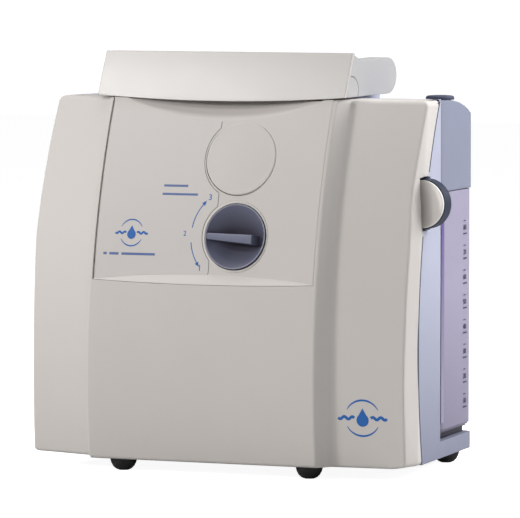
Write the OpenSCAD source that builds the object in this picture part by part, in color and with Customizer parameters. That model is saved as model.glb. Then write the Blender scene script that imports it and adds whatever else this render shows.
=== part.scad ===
// Portable medical suction pump: barrel-fronted casing, fold-down carrying handle,
// clip-in collection canister with release lever, vacuum regulator and a diaphragm pump inside.
// Millimetres. X to the right seen from the front, Y to the back, Z up.
// Origin on the contact plane, under the middle of the whole outline.

/* [Casing] */
// Width of the front face
body_width = 285; // [283:1:287]
// Height of the casing above the feet
body_height = 249.5; // [248:0.5:251]
// Depth of the casing from the foremost point to the back wall
body_depth = 174; // [173:0.5:175]
// Radius of the upright barrel curve of the front
front_radius = 496; // [470:1:520]
// Height of the foremost point of the front above the floor
front_z = 65; // [60:1:70]
// Wall thickness of the mouldings
wall = 2.6; // [2.2:0.1:2.8]
// Height of the rubber feet
foot_height = 10; // [9:0.5:11]

/* [Controls] */
// Diameter of the vacuum knob
knob_diameter = 45.6; // [44:0.1:46]
// Diameter of the round blank over the gauge opening
blank_diameter = 52.3; // [50:0.1:52.5]

/* [Canister] */
// Wall thickness of the canister
canister_wall = 2.2; // [1.8:0.1:2.4]
// Height of the canister below its lid
canister_height = 172; // [168:1:172]

/* [Handle] */
// Height of the front bar of the handle
bar_height = 30.5; // [29:0.5:31]
// Diameter of the handle pins
pin_diameter = 8; // [7:0.5:9]

/* [Release lever] */
// Radius of the half-round thumb pad
pad_radius = 17.3; // [16.5:0.1:17.4]

/* [Hidden] */
$fn = 48;

// Colours
shell_grey = [0.80, 0.79, 0.76];
overlay_grey = [0.83, 0.82, 0.80];
handle_grey = [0.82, 0.82, 0.83];
housing_blue = [0.70, 0.73, 0.82];
slate = [0.32, 0.36, 0.46];
lilac = [0.66, 0.60, 0.80, 0.55];
seal_white = [0.85, 0.85, 0.88];
cage_white = [0.9, 0.9, 0.92];
ball_white = [0.95, 0.95, 0.95];
filter_white = [0.92, 0.94, 0.96];
terminal_white = [0.9, 0.9, 0.88];
hose_clear = [0.85, 0.83, 0.80, 0.8];
rubber = [0.10, 0.10, 0.10];
socket_black = [0.08, 0.08, 0.09];
drawer_black = [0.12, 0.12, 0.13];
rocker_black = [0.06, 0.06, 0.07];
fan_black = [0.2, 0.2, 0.22];
silencer_grey = [0.3, 0.3, 0.32];
steel = [0.70, 0.71, 0.73];
brass = [0.75, 0.62, 0.32];
cradle_grey = [0.45, 0.46, 0.48];
motor_grey = [0.55, 0.56, 0.58];
cast_alloy = [0.62, 0.63, 0.65];
plate_alloy = [0.66, 0.66, 0.68];
rod_alloy = [0.72, 0.72, 0.74];

// Middle of the whole outline, from the casing's middle and foremost point
mid_x = 7.45;
mid_y = 89.005;

// Casing
base_z = foot_height;             // underside
top_z = base_z + body_height;
front_half = body_width / 2;      // half width at the front corners
widest_y = 28;                    // where the casing is widest
widest_half = front_half + 3.9;
taper = 0.1334;                   // side walls close in towards the back
back_half = widest_half - taper * (body_depth - widest_y);
raised_left = -93.3;              // edges of the raised middle section of the front
raised_right = 81;
left_back = 16.3;                 // how far the left corner is set back
right_back = 12.6;                // how far the right corner is set back
step_back = 6.2;                  // depth of the step on the right
seam_radius = 300;                // curved parting line between the two mouldings
seam_y = 27;
seam_z = 86.5;
seam_gap = 0.6;
split_y = 62;                     // where the front and rear screw bosses meet
screw_head_y = split_y + 12;

// [x, y] of the feet; [x, z] of the screw bosses
front_feet = [[-71.6, 15], [70.6, 15]];
back_feet = [[-113, 157], [113, 157]];
all_feet = concat(front_feet, back_feet);
left_bosses = [[-116, 30], [-116, 232]];
right_bosses = [[100, 36], [100, 238]];
all_bosses = concat(left_bosses, right_bosses);

// Control panel and its opening in the front shell
opening_x = raised_left + 2.3;
opening_width = 169;
opening_z = 133;
panel_gap = 0.3;
panel_x = opening_x + panel_gap;
panel_z = opening_z + panel_gap;
panel_top = top_z - 2.5;
panel_inset = 1;                  // panel surface behind the front surface
knob_x = 16.1;
knob_z = 165.3;
knob_radius = knob_diameter / 2;
blank_x = 14.1;
blank_z = 218.8;
blank_radius = blank_diameter / 2;

// Canister bay: its inner left, front and bottom faces
bay_x = 55.5;
bay_y = 86.5;
bay_z = base_z + 11.5;
dock_y = 130;                     // docking port axis
dock_z = 214;

// Canister and lid
canister_left = bay_x + 2;
canister_front = bay_y + 2;
canister_back = 172.5;
canister_z = bay_z + 0.7;         // underside
lid_z = canister_z + canister_height + 0.6;   // underside of the lid skirt
hose_port = [120, 128];           // [x, y] in the lid
float_seat = [88, 120];

// Handle
hinge_y = 150;
hinge_z = top_z + 14;
handle_x = -9.1;                  // middle of the handle
handle_half = 94.6;               // half width at the bar
bar_z = top_z + 1.5;              // underside of the bar
pin_radius = pin_diameter / 2;
pin_length = 21;
left_pin_x = -84;                 // left ends of the two pins
right_pin_x = 45;

// Release lever: thumb pad and upright pin
pad_x = 142.8;
pad_y = 40;
pad_z = 189.1;
lever_x = 138;
lever_y = 47.5;

// Mains inlet and switch in the back wall
inlet_x = -82;
switch_x = -42;
socket_z = 55;
rocker_y = -4;                    // rocker axis, from the back wall

// Pump
crank_y = 105;                    // motor axis
crank_z = 74;
tray_x = -107;
tray_y = 46;
tray_z = base_z + wall + 11;
tray_width = 143;
tray_depth = 118;
tray_sheet = 2;
seat_z = tray_z + tray_sheet + 0.05;          // underside of what stands on the tray
motor_x = -108;
motor_radius = 32;
shaft_radius = 4;
crankcase_top = seat_z + 80;
bore_x = -27;                     // crankcase bore and diaphragm axis
head_x = -26;                     // middle of the crankcase flange, valve plate and head
head_size = 54;                   // square
suction_x = bore_x - 10;          // valves and their ports
exhaust_x = bore_x + 10;
valve_xs = [suction_x, exhaust_x];
head_z = crankcase_top + 7.15;
port_z = crankcase_top + 15;
port_y = crank_y - 24;
port_length = 16;
silencer_x = 10;
silencer_y = body_depth - wall - 44.2;
silencer_z = 46;
hose_gap = 0.2;                   // between a hose end and its port

// Helpers

// Y of the front surface at height z, set back by inset
function front_y(z, inset = 0) =
    front_radius - sqrt(pow(front_radius - inset, 2) - pow(z - front_z, 2));
function tilt(z) = asin((z - front_z) / front_radius);
// X of the right side wall at depth y
function side_x(y) = widest_half - taper * (y - widest_y);
// Points of a rounded corner, in six steps
function corner(x, y, radius, from, to) =
    [for (i = [0:6]) let (a = from + (to - from) * i / 6) [x + radius * cos(a), y + radius * sin(a)]];

module place() {
    translate([-mid_x, -mid_y, 0]) children();
}
module cylinder_x(r, h) {
    rotate([0, 90, 0]) cylinder(r = r, h = h);
}
module cylinder_y(r, h) {
    rotate([-90, 0, 0]) cylinder(r = r, h = h);
}
// Cylinder running forwards
module cylinder_forward(r, h) {
    rotate([90, 0, 0]) cylinder(r = r, h = h);
}
module at_xy(points, z = 0) {
    for (p = points) translate([p[0], p[1], z]) children();
}
module at_xz(points, y = 0) {
    for (p = points) translate([p[0], y, p[1]]) children();
}
// Frames on the front: z outwards along the surface normal
module on_front(x, z, inset) {
    translate([x, front_y(z, inset), z]) rotate([90 - tilt(z), 0, 0]) children();
}
module at_knob(inset = panel_inset) {
    on_front(knob_x, knob_z, inset) children();
}
module at_blank(inset = panel_inset) {
    on_front(blank_x, blank_z, inset) children();
}
// Frame on the outside of the back wall, at socket height
module on_back(x) {
    translate([x, body_depth, socket_z]) children();
}
// Box centred on x and on height z, from y backwards
module back_box(width, height, y, depth, z = 0) {
    translate([-width / 2, y, z - height / 2]) cube([width, depth, height]);
}
// Frames with z along the X axis
module at_dock(x = bay_x) {
    translate([x, dock_y, dock_z]) rotate([0, 90, 0]) children();
}
module on_crank(x) {
    translate([x, crank_y, crank_z]) rotate([0, 90, 0]) children();
}
// Helical spring along z
module coil(radius, wire_radius, height, turns) {
    linear_extrude(height, twist = -360 * turns, slices = 15 * turns, segments = 8)
        translate([radius, 0]) circle(r = wire_radius, $fn = 8);
}

// Casing shapes

// Everything behind the stepped curved front, set back by inset
module barrel(inset = 0) {
    radius = front_radius - inset;
    translate([0, front_radius, front_z]) rotate([0, 90, 0]) rotate_extrude($fn = 360)
        // [distance from the barrel axis, x]
        polygon([
            [0, -160],
            [radius - left_back - 5.3, -160],
            [radius - left_back, -front_half],
            [radius - 1.6, raised_left - 0.7],
            [radius, raised_left + 0.8],
            [radius, raised_right],
            [radius - step_back, raised_right + 7.5],
            [radius - right_back, front_half],
            [radius - right_back - 1.9, 160],
            [0, 160]
        ]);
}
// The same curve without the steps
module plain_barrel(inset = 0) {
    translate([0, front_radius, front_z]) rotate([0, 90, 0])
        translate([0, 0, -160]) cylinder(r = front_radius - inset, h = 320, $fn = 360);
}
module casing_plan(inset = 0) {
    radius = 9;
    front_x = front_half - 0.5 - inset;
    seam_x = widest_half - inset;
    corner_x = back_half - inset - radius + 0.3;
    corner_y = body_depth - inset - radius;
    polygon(concat(
        [[-front_x, -8], [front_x, -8], [front_x, 12], [seam_x, widest_y]],
        corner(corner_x, corner_y, radius, -7.6, 90),
        corner(-corner_x, corner_y, radius, 90, 187.6),
        [[-seam_x, widest_y], [-front_x, 12]]));
}
// Solid casing, set in by inset on every side
module casing(inset = 0) {
    intersection() {
        translate([0, 0, base_z + inset]) linear_extrude(body_height - 2 * inset) casing_plan(inset);
        barrel(inset);
    }
}
// Everything behind the parting line
module behind_seam(inset = 0) {
    translate([-170, seam_y + seam_radius, seam_z]) rotate([0, 90, 0])
        cylinder(r = seam_radius - inset, h = 340, $fn = 360);
}
// Finger scoop under the front bar
module finger_scoop(grow = 0) {
    translate([-5, 20, top_z + 285]) rotate([-90, 0, 0])
        cylinder(h = 40, r1 = 310.5 + grow * 1.25, r2 = 280.5 + grow * 1.25, $fn = 360);
}
// Thumb scoop in front of the release lever
module thumb_scoop(grow = 0) {
    intersection() {
        translate([239.9, 46, pad_z - 0.8]) sphere(r = 97.5 + grow, $fn = 360);
        translate([100, -10, 100]) cube([80, 49.2 + grow, 150]);
    }
}
module lever_slot() {
    translate([128, 39, pad_z - pad_radius - 1]) cube([30, 19.5, 2 * pad_radius + 2]);
}
// Canister bay, open at the side, the back and the top
module bay(grow = 0) {
    translate([bay_x - grow, bay_y - grow, bay_z - grow]) cube([140, 140, 260]);
}
module foot_screw_holes(feet) {
    at_xy(feet, base_z - 1) cylinder(r = 2.1, h = 6);
}

// Front mouldings

module front_shell() place() color(shell_grey) {
    difference() {
        union() {
            difference() {
                casing();
                behind_seam();
                difference() {
                    casing(wall);
                    thumb_scoop(wall);
                }
            }
            intersection() {
                at_xz(all_bosses) cylinder_y(r = 5, h = split_y);
                casing(1);
            }
        }
        translate([opening_x, -10, opening_z]) cube([opening_width, 68, 200]);
        thumb_scoop();
        lever_slot();
        at_xz(all_bosses, split_y - 14) cylinder_y(r = 1.7, h = 30);
        foot_screw_holes(front_feet);
    }
}

// Curved panel, hollow behind, with the finger scoop pressed into its top
module panel_skin() {
    intersection() {
        translate([panel_x, -10, panel_z])
            cube([opening_width - 2 * panel_gap, 67.6, panel_top - panel_z]);
        difference() {
            barrel(panel_inset);
            difference() {
                intersection() {
                    barrel(panel_inset + wall);
                    translate([-120, -20, 100]) cube([240, 120, panel_top - wall - 100]);
                }
                finger_scoop(wall);
            }
            finger_scoop();
        }
    }
}
module control_panel() place() color(shell_grey) {
    difference() {
        union() {
            panel_skin();
            // well behind the knob
            at_knob() translate([0, 0, -18]) cylinder(r = knob_radius + 2.6, h = 17);
            // seat behind the blank
            at_blank() translate([0, 0, -6]) cylinder(r = blank_radius + 1.8, h = 4.2);
        }
        at_knob() {
            translate([0, 0, -16]) cylinder(r = knob_radius + 0.5, h = 30);
            translate([0, 0, -30]) cylinder(r = 8.1, h = 30);
        }
        at_blank() {
            translate([0, 0, -3.4]) cylinder(r = blank_radius + 0.15, h = 20);
            translate([0, 0, -20]) cylinder(r = blank_radius - 3, h = 20);
        }
    }
}

module panel_overlay() place() color(overlay_grey) {
    difference() {
        intersection() {
            translate([raised_left + 4.4, -10, 137]) cube([84.5, 60, 104]);
            difference() {
                plain_barrel(0.75);
                plain_barrel(0.98);
            }
        }
        at_knob(0) translate([0, 0, -10]) cylinder(r = knob_radius + 2.8, h = 20);
        at_blank(0) translate([0, 0, -10]) cylinder(r = blank_radius + 2.2, h = 20);
        finger_scoop(1);
    }
}

// Disc with a ring behind it, slotted into four
module gauge_blank() place() color(shell_grey) {
    at_blank() {
        translate([0, 0, -3.2]) cylinder(r = blank_radius, h = 3.3);
        difference() {
            translate([0, 0, -11]) cylinder(r = blank_radius - 3.3, h = 8);
            translate([0, 0, -12]) cylinder(r = blank_radius - 5.3, h = 9);
            for (a = [0:90:359]) rotate(a) translate([-3, 0, -12]) cube([6, 40, 8]);
        }
    }
}

// Vacuum knob and regulator

// Two hollows in the face leave a grip bar across the knob
module vacuum_knob() place() color(slate) {
    at_knob() difference() {
        union() {
            translate([0, 0, -12.9]) cylinder(r = knob_radius, h = 13.1);
            translate([0, 0, -20]) cylinder(r = 5.8, h = 8);
        }
        for (side = [-1, 1]) intersection() {
            translate([0, 0, -11]) cylinder(r = knob_radius - 1.9, h = 20);
            translate([-30, side * 16.8, 3.6]) cylinder_x(r = 13.2, h = 60);
        }
        translate([0, 0, -21]) cylinder(r = 3, h = 13);
    }
}
module regulator_spindle() place() color(brass) {
    at_knob() {
        translate([0, 0, -44]) cylinder(r = 2.96, h = 36);
        translate([0, 0, -46]) cylinder(r = 5, h = 2.2);
    }
}
// Hollow body, threaded neck and two side ports, one down and one to the right
module regulator_body() place() color(brass) {
    down_port_z = -40;
    right_port_z = -54;
    at_knob() difference() {
        union() {
            translate([0, 0, -62]) cylinder(r = 15, h = 43.6);
            translate([0, 0, -19]) cylinder(r = 8, h = 5.5);
            translate([0, -14, down_port_z]) cylinder_forward(r = 3.4, h = 14);
            translate([14, 0, right_port_z]) cylinder_x(r = 3.4, h = 14);
        }
        translate([0, 0, -60]) cylinder(r = 11, h = 36);
        translate([0, 0, -25]) cylinder(r = 6.1, h = 30);
        translate([0, -10, down_port_z]) cylinder_forward(r = 2, h = 30);
        translate([10, 0, right_port_z]) cylinder_x(r = 2, h = 30);
    }
}
module regulator_nut() place() color(brass) {
    at_knob() difference() {
        translate([0, 0, -15.9]) cylinder(r = 12, h = 2.4, $fn = 6);
        translate([0, 0, -17]) cylinder(r = 8.05, h = 5);
    }
}
module regulator_spring() place() color(steel) {
    at_knob() translate([0, 0, -59.8]) coil(radius = 7, wire_radius = 0.9, height = 13, turns = 5);
}

// Rear housing

module housing_shell() {
    intersection() {
        difference() {
            casing();
            difference() {
                casing(wall);
                bay(wall);
            }
        }
        behind_seam(seam_gap);
    }
}
module housing_bosses() {
    intersection() {
        casing(1);
        union() {
            at_xz(left_bosses, split_y + 0.4) cylinder_y(r = 6.5, h = body_depth);
            at_xz(right_bosses, split_y + 0.4) cylinder_y(r = 6.5, h = bay_y - wall / 2 - split_y);
        }
    }
}
module handle_lugs() {
    lug_width = 9.8;
    lug_radius = 11;
    for (x = [-71, 44]) {
        translate([x, hinge_y, hinge_z]) cylinder_x(r = lug_radius, h = lug_width);
        translate([x, hinge_y - lug_radius, top_z - wall])
            cube([lug_width, 2 * lug_radius, hinge_z - top_z + wall]);
    }
}
// Lugs above and below the lever, and a plate behind them
module lever_lugs() {
    lug_x = lever_x - 6;
    upper_z = pad_z + 19.2;
    translate([lug_x, 42, pad_z - 25]) cube([9.6, 13, 5.9]);
    translate([lug_x, 42, upper_z]) cube([7.4, 14, 5.7]);
    translate([lug_x, 55.5, upper_z]) cube([8.4, 8, 5.7]);
    translate([111, 64, pad_z + 1]) cube([2.5, 21, 16]);
}
// Screw clearance holes with counterbores from behind
module housing_screw_holes(bosses, hole_length, counterbore_length) {
    at_xz(bosses) {
        cylinder_y(r = 2.1, h = hole_length);
        translate([0, screw_head_y, 0]) cylinder_y(r = 4.2, h = counterbore_length);
    }
}
module back_wall_openings() {
    on_back(inlet_x) back_box(28, 36, -10, 20);
    on_back(switch_x) back_box(20, 28, -10, 20);
    for (i = [0:6]) translate([-40, body_depth - 10, 178 + i * 7]) cube([70, 20, 3.2]);
    translate([silencer_x, body_depth - 10, silencer_z]) cylinder_y(r = 5.1, h = 20);
}
module rear_housing() place() color(housing_blue) {
    difference() {
        union() {
            housing_shell();
            housing_bosses();
            handle_lugs();
            // pads for the vibration mounts
            at_xy(mount_points, base_z + 1) cylinder(r = 9, h = wall);
            // floor of the hinge notch
            translate([-95, 136, top_z - 13]) cube([26, body_depth - 139, 12.9]);
            lever_lugs();
        }
        bay();
        // hinge notch for the left arm, and a narrow one beside the right lug
        translate([-93.5, 137.5, top_z - 10]) cube([22.2, 60, 12]);
        translate([54.1, 137.5, top_z - 10]) cube([2, 60, 12]);
        translate([lever_x, lever_y, pad_z - 30]) cylinder(r = 2.04, h = 60);
        for (x = [-80, 40]) translate([x, hinge_y, hinge_z]) cylinder_x(r = pin_radius + 0.05, h = 30);
        housing_screw_holes(left_bosses, hole_length = 260, counterbore_length = 200);
        housing_screw_holes(right_bosses, hole_length = bay_y + 10, counterbore_length = 40);
        lever_slot();
        // window for the lever nose
        translate([110, bay_y - 10, 190.5]) cube([24, 20, 15]);
        at_dock(bay_x - 10) cylinder(r = 7.2, h = 20);
        back_wall_openings();
        foot_screw_holes(back_feet);
    }
}

// Handle

// Side view [y, z]: front bar, level arm, rounded tail at the hinge
module handle_profile() {
    polygon(concat(
        [[30, bar_z], [30, bar_z + bar_height], [57.5, bar_z + bar_height],
            [80, top_z + 26.4], [145, top_z + 27]],
        [for (i = [0:12]) let (a = 84 - 174 * i / 12)
            [hinge_y + 22.2 * cos(a), hinge_z + 12.7 * sin(a)]]));
}
// Plan: straight at the bar, then closing in towards the back
module handle_plan(inset = 0) {
    half = handle_half - inset;
    front = 20;
    bend = 45;
    back = 185;
    back_x = half - 0.139 * (back - bend);
    translate([handle_x, 0]) polygon([[-half, front], [half, front], [half, bend],
        [back_x, back], [-back_x, back], [-half, bend]]);
}
module handle_frame() place() color(handle_grey) {
    difference() {
        intersection() {
            translate([-160, 0, 0]) rotate([90, 0, 90]) linear_extrude(320) handle_profile();
            translate([0, 0, top_z]) linear_extrude(60) handle_plan();
            plain_barrel(3.3);
        }
        // hand opening between the arms
        difference() {
            translate([0, 0, top_z - 10]) linear_extrude(80) handle_plan(13);
            translate([-200, 0, top_z - 10]) cube([400, 80, 90]);
        }
        // finger relief under the bar
        translate([-75, 66, top_z - 4]) cylinder_x(r = 15, h = 130);
        // pin holes: [x, length]
        for (hole = [[left_pin_x - 0.05, 16], [right_pin_x + 5, 16.05]])
            translate([hole[0], hinge_y, hinge_z]) cylinder_x(r = pin_radius + 0.02, h = hole[1]);
    }
}
// Curved skin over the front of the bar, with a slightly crowned top
module handle_cover() place() color(shell_grey) {
    crown_radius = 1357;
    intersection() {
        difference() {
            plain_barrel();
            plain_barrel(3.1);
        }
        translate([handle_x - handle_half, 20, top_z - 10])
            cube([2 * handle_half, 60, bar_z - top_z + 10 + bar_height]);
        translate([handle_x, 0, top_z - 1.9 + crown_radius])
            cylinder_y(r = crown_radius, h = 80, $fn = 720);
    }
}
module handle_pins() place() color(steel) {
    for (x = [left_pin_x, right_pin_x])
        translate([x, hinge_y, hinge_z]) cylinder_x(r = pin_radius, h = pin_length);
}

// Canister and lid

// Plan outline; the right side follows the tapering casing wall
module canister_plan(inset = 0, corner_radius = 11) {
    left = canister_left + corner_radius;
    front = canister_front + corner_radius;
    back = canister_back - corner_radius;
    front_right = side_x(canister_front) - 0.8 - corner_radius - 1.5;
    back_right = side_x(canister_back) - 0.8 - corner_radius + 1.3;
    radius = corner_radius - inset;
    polygon(concat(
        corner(left, front, radius, 180, 270),
        corner(front_right, front, radius, -90, -7.6),
        corner(back_right, back, radius, -7.6, 90),
        corner(left, back, radius, 90, 180)));
}
module canister() place() color(lilac) {
    floor_z = 6.6;
    // outside in layers that narrow to the bottom: [height above the underside, thickness, inset]
    layers = [
        [floor_z, canister_height - floor_z, 0],
        [5.3, 1.31, 1.2],
        [4, 1.31, 2.6],
        [0, 4.01, 4.6]
    ];
    translate([0, 0, canister_z]) difference() {
        for (layer = layers)
            translate([0, 0, layer[0]]) linear_extrude(layer[1]) canister_plan(layer[2]);
        translate([0, 0, floor_z]) linear_extrude(canister_height) canister_plan(2 + canister_wall);
        translate([0, 0, floor_z + 2]) linear_extrude(canister_height) canister_plan(canister_wall);
    }
}

// Top edge of the lid from front to back:
// [y, depth below the casing top, share of the inset taken in y, share taken in z]
lid_edge = [
    [80, 1.6, 0, 1], [118, 1.7, 0, 1], [135, 3.4, 0, 1], [150, 6.4, 0, 1], [160, 9.3, 0, 1],
    [167, 12.4, 0.6, 0.8], [171, 16, 0.9, 0.5], [172.6, 21, 1, 0]
];
// Solid under that edge; when inset, it runs out below the skirt
module lid_form(inset = 0) {
    bottom = lid_z - (inset > 0 ? 1 : 0);
    translate([20, 0, 0]) rotate([90, 0, 90]) linear_extrude(160) polygon(concat(
        [[80, bottom]],
        [for (p = lid_edge) [p[0] - inset * p[2], top_z - p[1] - inset * p[3]]],
        [[172.6 - inset, bottom]]));
}
module canister_lid() place() color(housing_blue) {
    difference() {
        intersection() {
            translate([0, 0, lid_z]) linear_extrude(90) canister_plan(-0.1, 8);
            lid_form();
        }
        // chamber above the deck
        intersection() {
            translate([0, 0, lid_z + 6.5]) linear_extrude(90) canister_plan(2.2, 8);
            lid_form(2.4);
        }
        // recess for the seal
        translate([0, 0, lid_z - 1]) linear_extrude(5) canister_plan(2, 8);
        at_xy([hose_port], lid_z - 1) cylinder(r = 6, h = 12);
        at_xy([hose_port], top_z - 12) cylinder(r = 8.1, h = 30);
        at_xy([float_seat], lid_z - 1) cylinder(r = 4, h = 12);
        // suction outlet to the docking port
        at_dock(50) cylinder(r = 5.2, h = 14);
    }
}
module lid_seal() place() color(seal_white) {
    difference() {
        translate([0, 0, lid_z + 0.2]) linear_extrude(3.6) canister_plan(2.3, 9);
        translate([0, 0, lid_z - 1]) linear_extrude(9) canister_plan(5.2, 9);
    }
}
module port_cap() place() color(slate) {
    at_xy([hose_port], top_z) {
        translate([0, 0, -1.65]) rotate_extrude()
            polygon([[0, 0], [10, 0], [10, 1.7], [9.4, 2.5], [8, 2.9], [5, 3.1], [0, 3.2]]);
        difference() {
            translate([0, 0, -11]) cylinder(r = 7.8, h = 9.4);
            translate([0, 0, -12]) cylinder(r = 6, h = 9);
        }
    }
}
module float_cage() place() color(cage_white) {
    at_xy([float_seat], lid_z) difference() {
        union() {
            translate([0, 0, -30]) cylinder(r = 11, h = 33.9);
            translate([0, 0, 1.5]) cylinder(r = 14, h = 2.4);
        }
        translate([0, 0, -28]) cylinder(r = 9.4, h = 29);
        translate([0, 0, -5]) cylinder(r = 4, h = 20);
        // side windows
        for (a = [0:90:359]) rotate(a + 45) translate([-3.5, 5, -25]) cube([7, 10, 18]);
        translate([0, 0, -32]) cylinder(r = 5, h = 8);
    }
}
module float_ball() place() color(ball_white) {
    at_xy([float_seat], lid_z - 19.2) sphere(r = 8.6);
}
module lid_filter() place() color(filter_white) {
    at_dock(60.4) difference() {
        cylinder(r = 12, h = 9);
        translate([0, 0, 5]) cylinder(r = 9.5, h = 5);
    }
}
module docking_port() place() color(slate) {
    at_dock() difference() {
        union() {
            translate([0, 0, -16]) cylinder(r = 4, h = 14);
            translate([0, 0, -wall - 2.4]) cylinder(r = 12, h = 2.2);
            translate([0, 0, -wall - 1]) cylinder(r = 7.1, h = wall + 1.2);
        }
        translate([0, 0, -20]) cylinder(r = 2.4, h = 30);
        translate([0, 0, -1.4]) cylinder(r = 6, h = 5);
    }
}
module docking_seal() place() color(rubber) {
    at_dock() difference() {
        translate([0, 0, -1.3]) cylinder(r = 5.9, h = 3);
        translate([0, 0, -3]) cylinder(r = 3, h = 8);
    }
}

// Release lever

module release_lever() place() color(slate) {
    arm_z = pad_z + 4;
    difference() {
        union() {
            // half-round thumb body
            intersection() {
                translate([pad_x, pad_y + 2.2, pad_z]) cylinder_y(r = pad_radius, h = 11, $fn = 72);
                translate([136, 0, 0]) cube([60, 100, 300]);
            }
            // hub around the pin
            translate([lever_x, lever_y, pad_z - 12]) cylinder(r = 5, h = 24);
            // arm to the nose
            translate([126.5, lever_y - 2, arm_z]) cube([8.7, 38.2, 10]);
            translate([124, 80.2, arm_z]) cube([9, 8, 10]);
        }
        translate([lever_x, lever_y, pad_z - 20]) cylinder(r = 2.05, h = 60);
        translate([lever_x, lever_y, pad_z + 12.2]) cylinder(r = 5.1, h = 20);
    }
}
module lever_cap() place() color(shell_grey) {
    intersection() {
        translate([pad_x, pad_y, pad_z]) cylinder_y(r = pad_radius - 0.7, h = 2.1, $fn = 72);
        translate([140, 0, 0]) cube([60, 100, 300]);
    }
}
module lever_pin() place() color(steel) {
    translate([lever_x, lever_y, pad_z - 21]) cylinder(r = 2, h = 42);
}
module lever_spring() place() color(steel) {
    translate([lever_x, lever_y, pad_z + 12.4])
        coil(radius = 3.5, wire_radius = 0.7, height = 5.4, turns = 4);
}

// Feet and casing screws

module feet() place() color(rubber) {
    foot_top = foot_height - 0.05;
    at_xy(all_feet) difference() {
        rotate_extrude() polygon([[0, 0], [3.6, 0], [5.6, 0.9], [7.4, 2.6], [8.7, 5], [9.4, 7.6],
            [9.6, foot_top], [0, foot_top]]);
        translate([0, 0, 3]) cylinder(r = 2.1, h = 20);
    }
}
module foot_screws() place() color(steel) {
    at_xy(all_feet) {
        translate([0, 0, 3.4]) cylinder(r = 2, h = base_z + wall - 3.3);
        translate([0, 0, base_z + wall + 0.05]) cylinder(r = 3.8, h = 2);
    }
}
module shell_screws() place() color(steel) {
    at_xz(all_bosses, screw_head_y + 0.03) rotate([90, 0, 0]) {
        cylinder(r = 1.65, h = 22);
        translate([0, 0, -2.4]) cylinder(r = 3.6, h = 2.4);
    }
}

// Mains inlet and switch

module mains_inlet() place() color(socket_black) on_back(inlet_x) {
    difference() {
        union() {
            back_box(34, 40, 0.05, 1.6);
            back_box(27.6, 35.6, -22, 22.2);
        }
        // appliance socket
        back_box(24, 18, -16, 30, z = -7);
        // fuse drawer opening
        back_box(24, 10, -19, 30, z = 10);
    }
    // contact blades, the middle one higher: [x, z]
    for (blade = [[-7, -8], [0, -3], [7, -8]])
        translate([blade[0], 0, 0]) back_box(1.6, 4, -20, 16, z = blade[1]);
}
module fuse_drawer() place() color(drawer_black) on_back(inlet_x) {
    difference() {
        back_box(23.6, 9.6, -18.6, 20.6, z = 10);
        back_box(18, 12, -17, 14, z = 13);
    }
}
module switch_frame() place() color(socket_black) on_back(switch_x) {
    difference() {
        union() {
            back_box(24, 32, 0.05, 1.4);
            back_box(19.6, 27.6, -16, 16.2);
        }
        back_box(15, 23.2, -13, 30);
        translate([-12, rocker_y, 0]) cylinder_x(r = 1.55, h = 30);
    }
}
module rocker_switch() place() color(rocker_black) on_back(switch_x) {
    rocker_width = 14.4;
    axle_end = 2;                 // beyond each side of the rocker
    translate([-rocker_width / 2, rocker_y, 0]) rotate([8, 0, 0]) {
        rotate([90, 0, 90]) linear_extrude(rocker_width) polygon([[-4, -6], [3.4, -10.6],
            [6.6, -10.4], [4.8, 0], [6.6, 10.4], [3.4, 10.6], [-4, 6]]);
        translate([-axle_end, 0, 0]) cylinder_x(r = 1.5, h = rocker_width + 2 * axle_end);
    }
}

// Pump tray and motor

mount_points = [for (x = [-97, 25], y = [58, 152]) [x, y]];
module vibration_mounts() place() color(rubber) {
    at_xy(mount_points, base_z + wall + 1.05) difference() {
        rotate_extrude()
            polygon([[0, 0], [7, 0], [7, 3], [5.4, 5], [7, 7], [7, 9.9], [0, 9.9]]);
        translate([0, 0, -1]) cylinder(r = 2, h = 20);
    }
}
module pump_tray() place() color(steel) {
    difference() {
        union() {
            translate([tray_x, tray_y, tray_z]) cube([tray_width, tray_depth, tray_sheet]);
            // upturned front and back edges
            for (y = [tray_y, tray_y + tray_depth - tray_sheet])
                translate([tray_x, y, tray_z]) cube([tray_width, tray_sheet, 8]);
        }
        at_xy(mount_points, tray_z - 1) cylinder(r = 2.6, h = 5);
        for (x = [-100, -40], y = [80, 130]) translate([x, y, tray_z - 1]) cylinder(r = 1.8, h = 5);
    }
}
module motor_cradle() place() color(cradle_grey) {
    difference() {
        translate([-104, crank_y - 30, seat_z]) cube([46, 60, 26]);
        on_crank(-120) cylinder(r = motor_radius + 0.1, h = 90);
        translate([-98, crank_y - 40, tray_z + 6]) cube([34, 80, 8]);
    }
}
module motor_can() place() color(motor_grey) {
    difference() {
        on_crank(motor_x) cylinder(r = motor_radius, h = 54.9);
        on_crank(motor_x + 3) cylinder(r = motor_radius - 4, h = 50);
        on_crank(-120) cylinder(r = 8, h = 80);
    }
}
module motor_bearings() place() color(steel) {
    for (x = [motor_x, -58.2]) on_crank(x) difference() {
        cylinder(r = 7.95, h = 5);
        translate([0, 0, -1]) cylinder(r = shaft_radius + 0.03, h = 8);
    }
}
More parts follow.
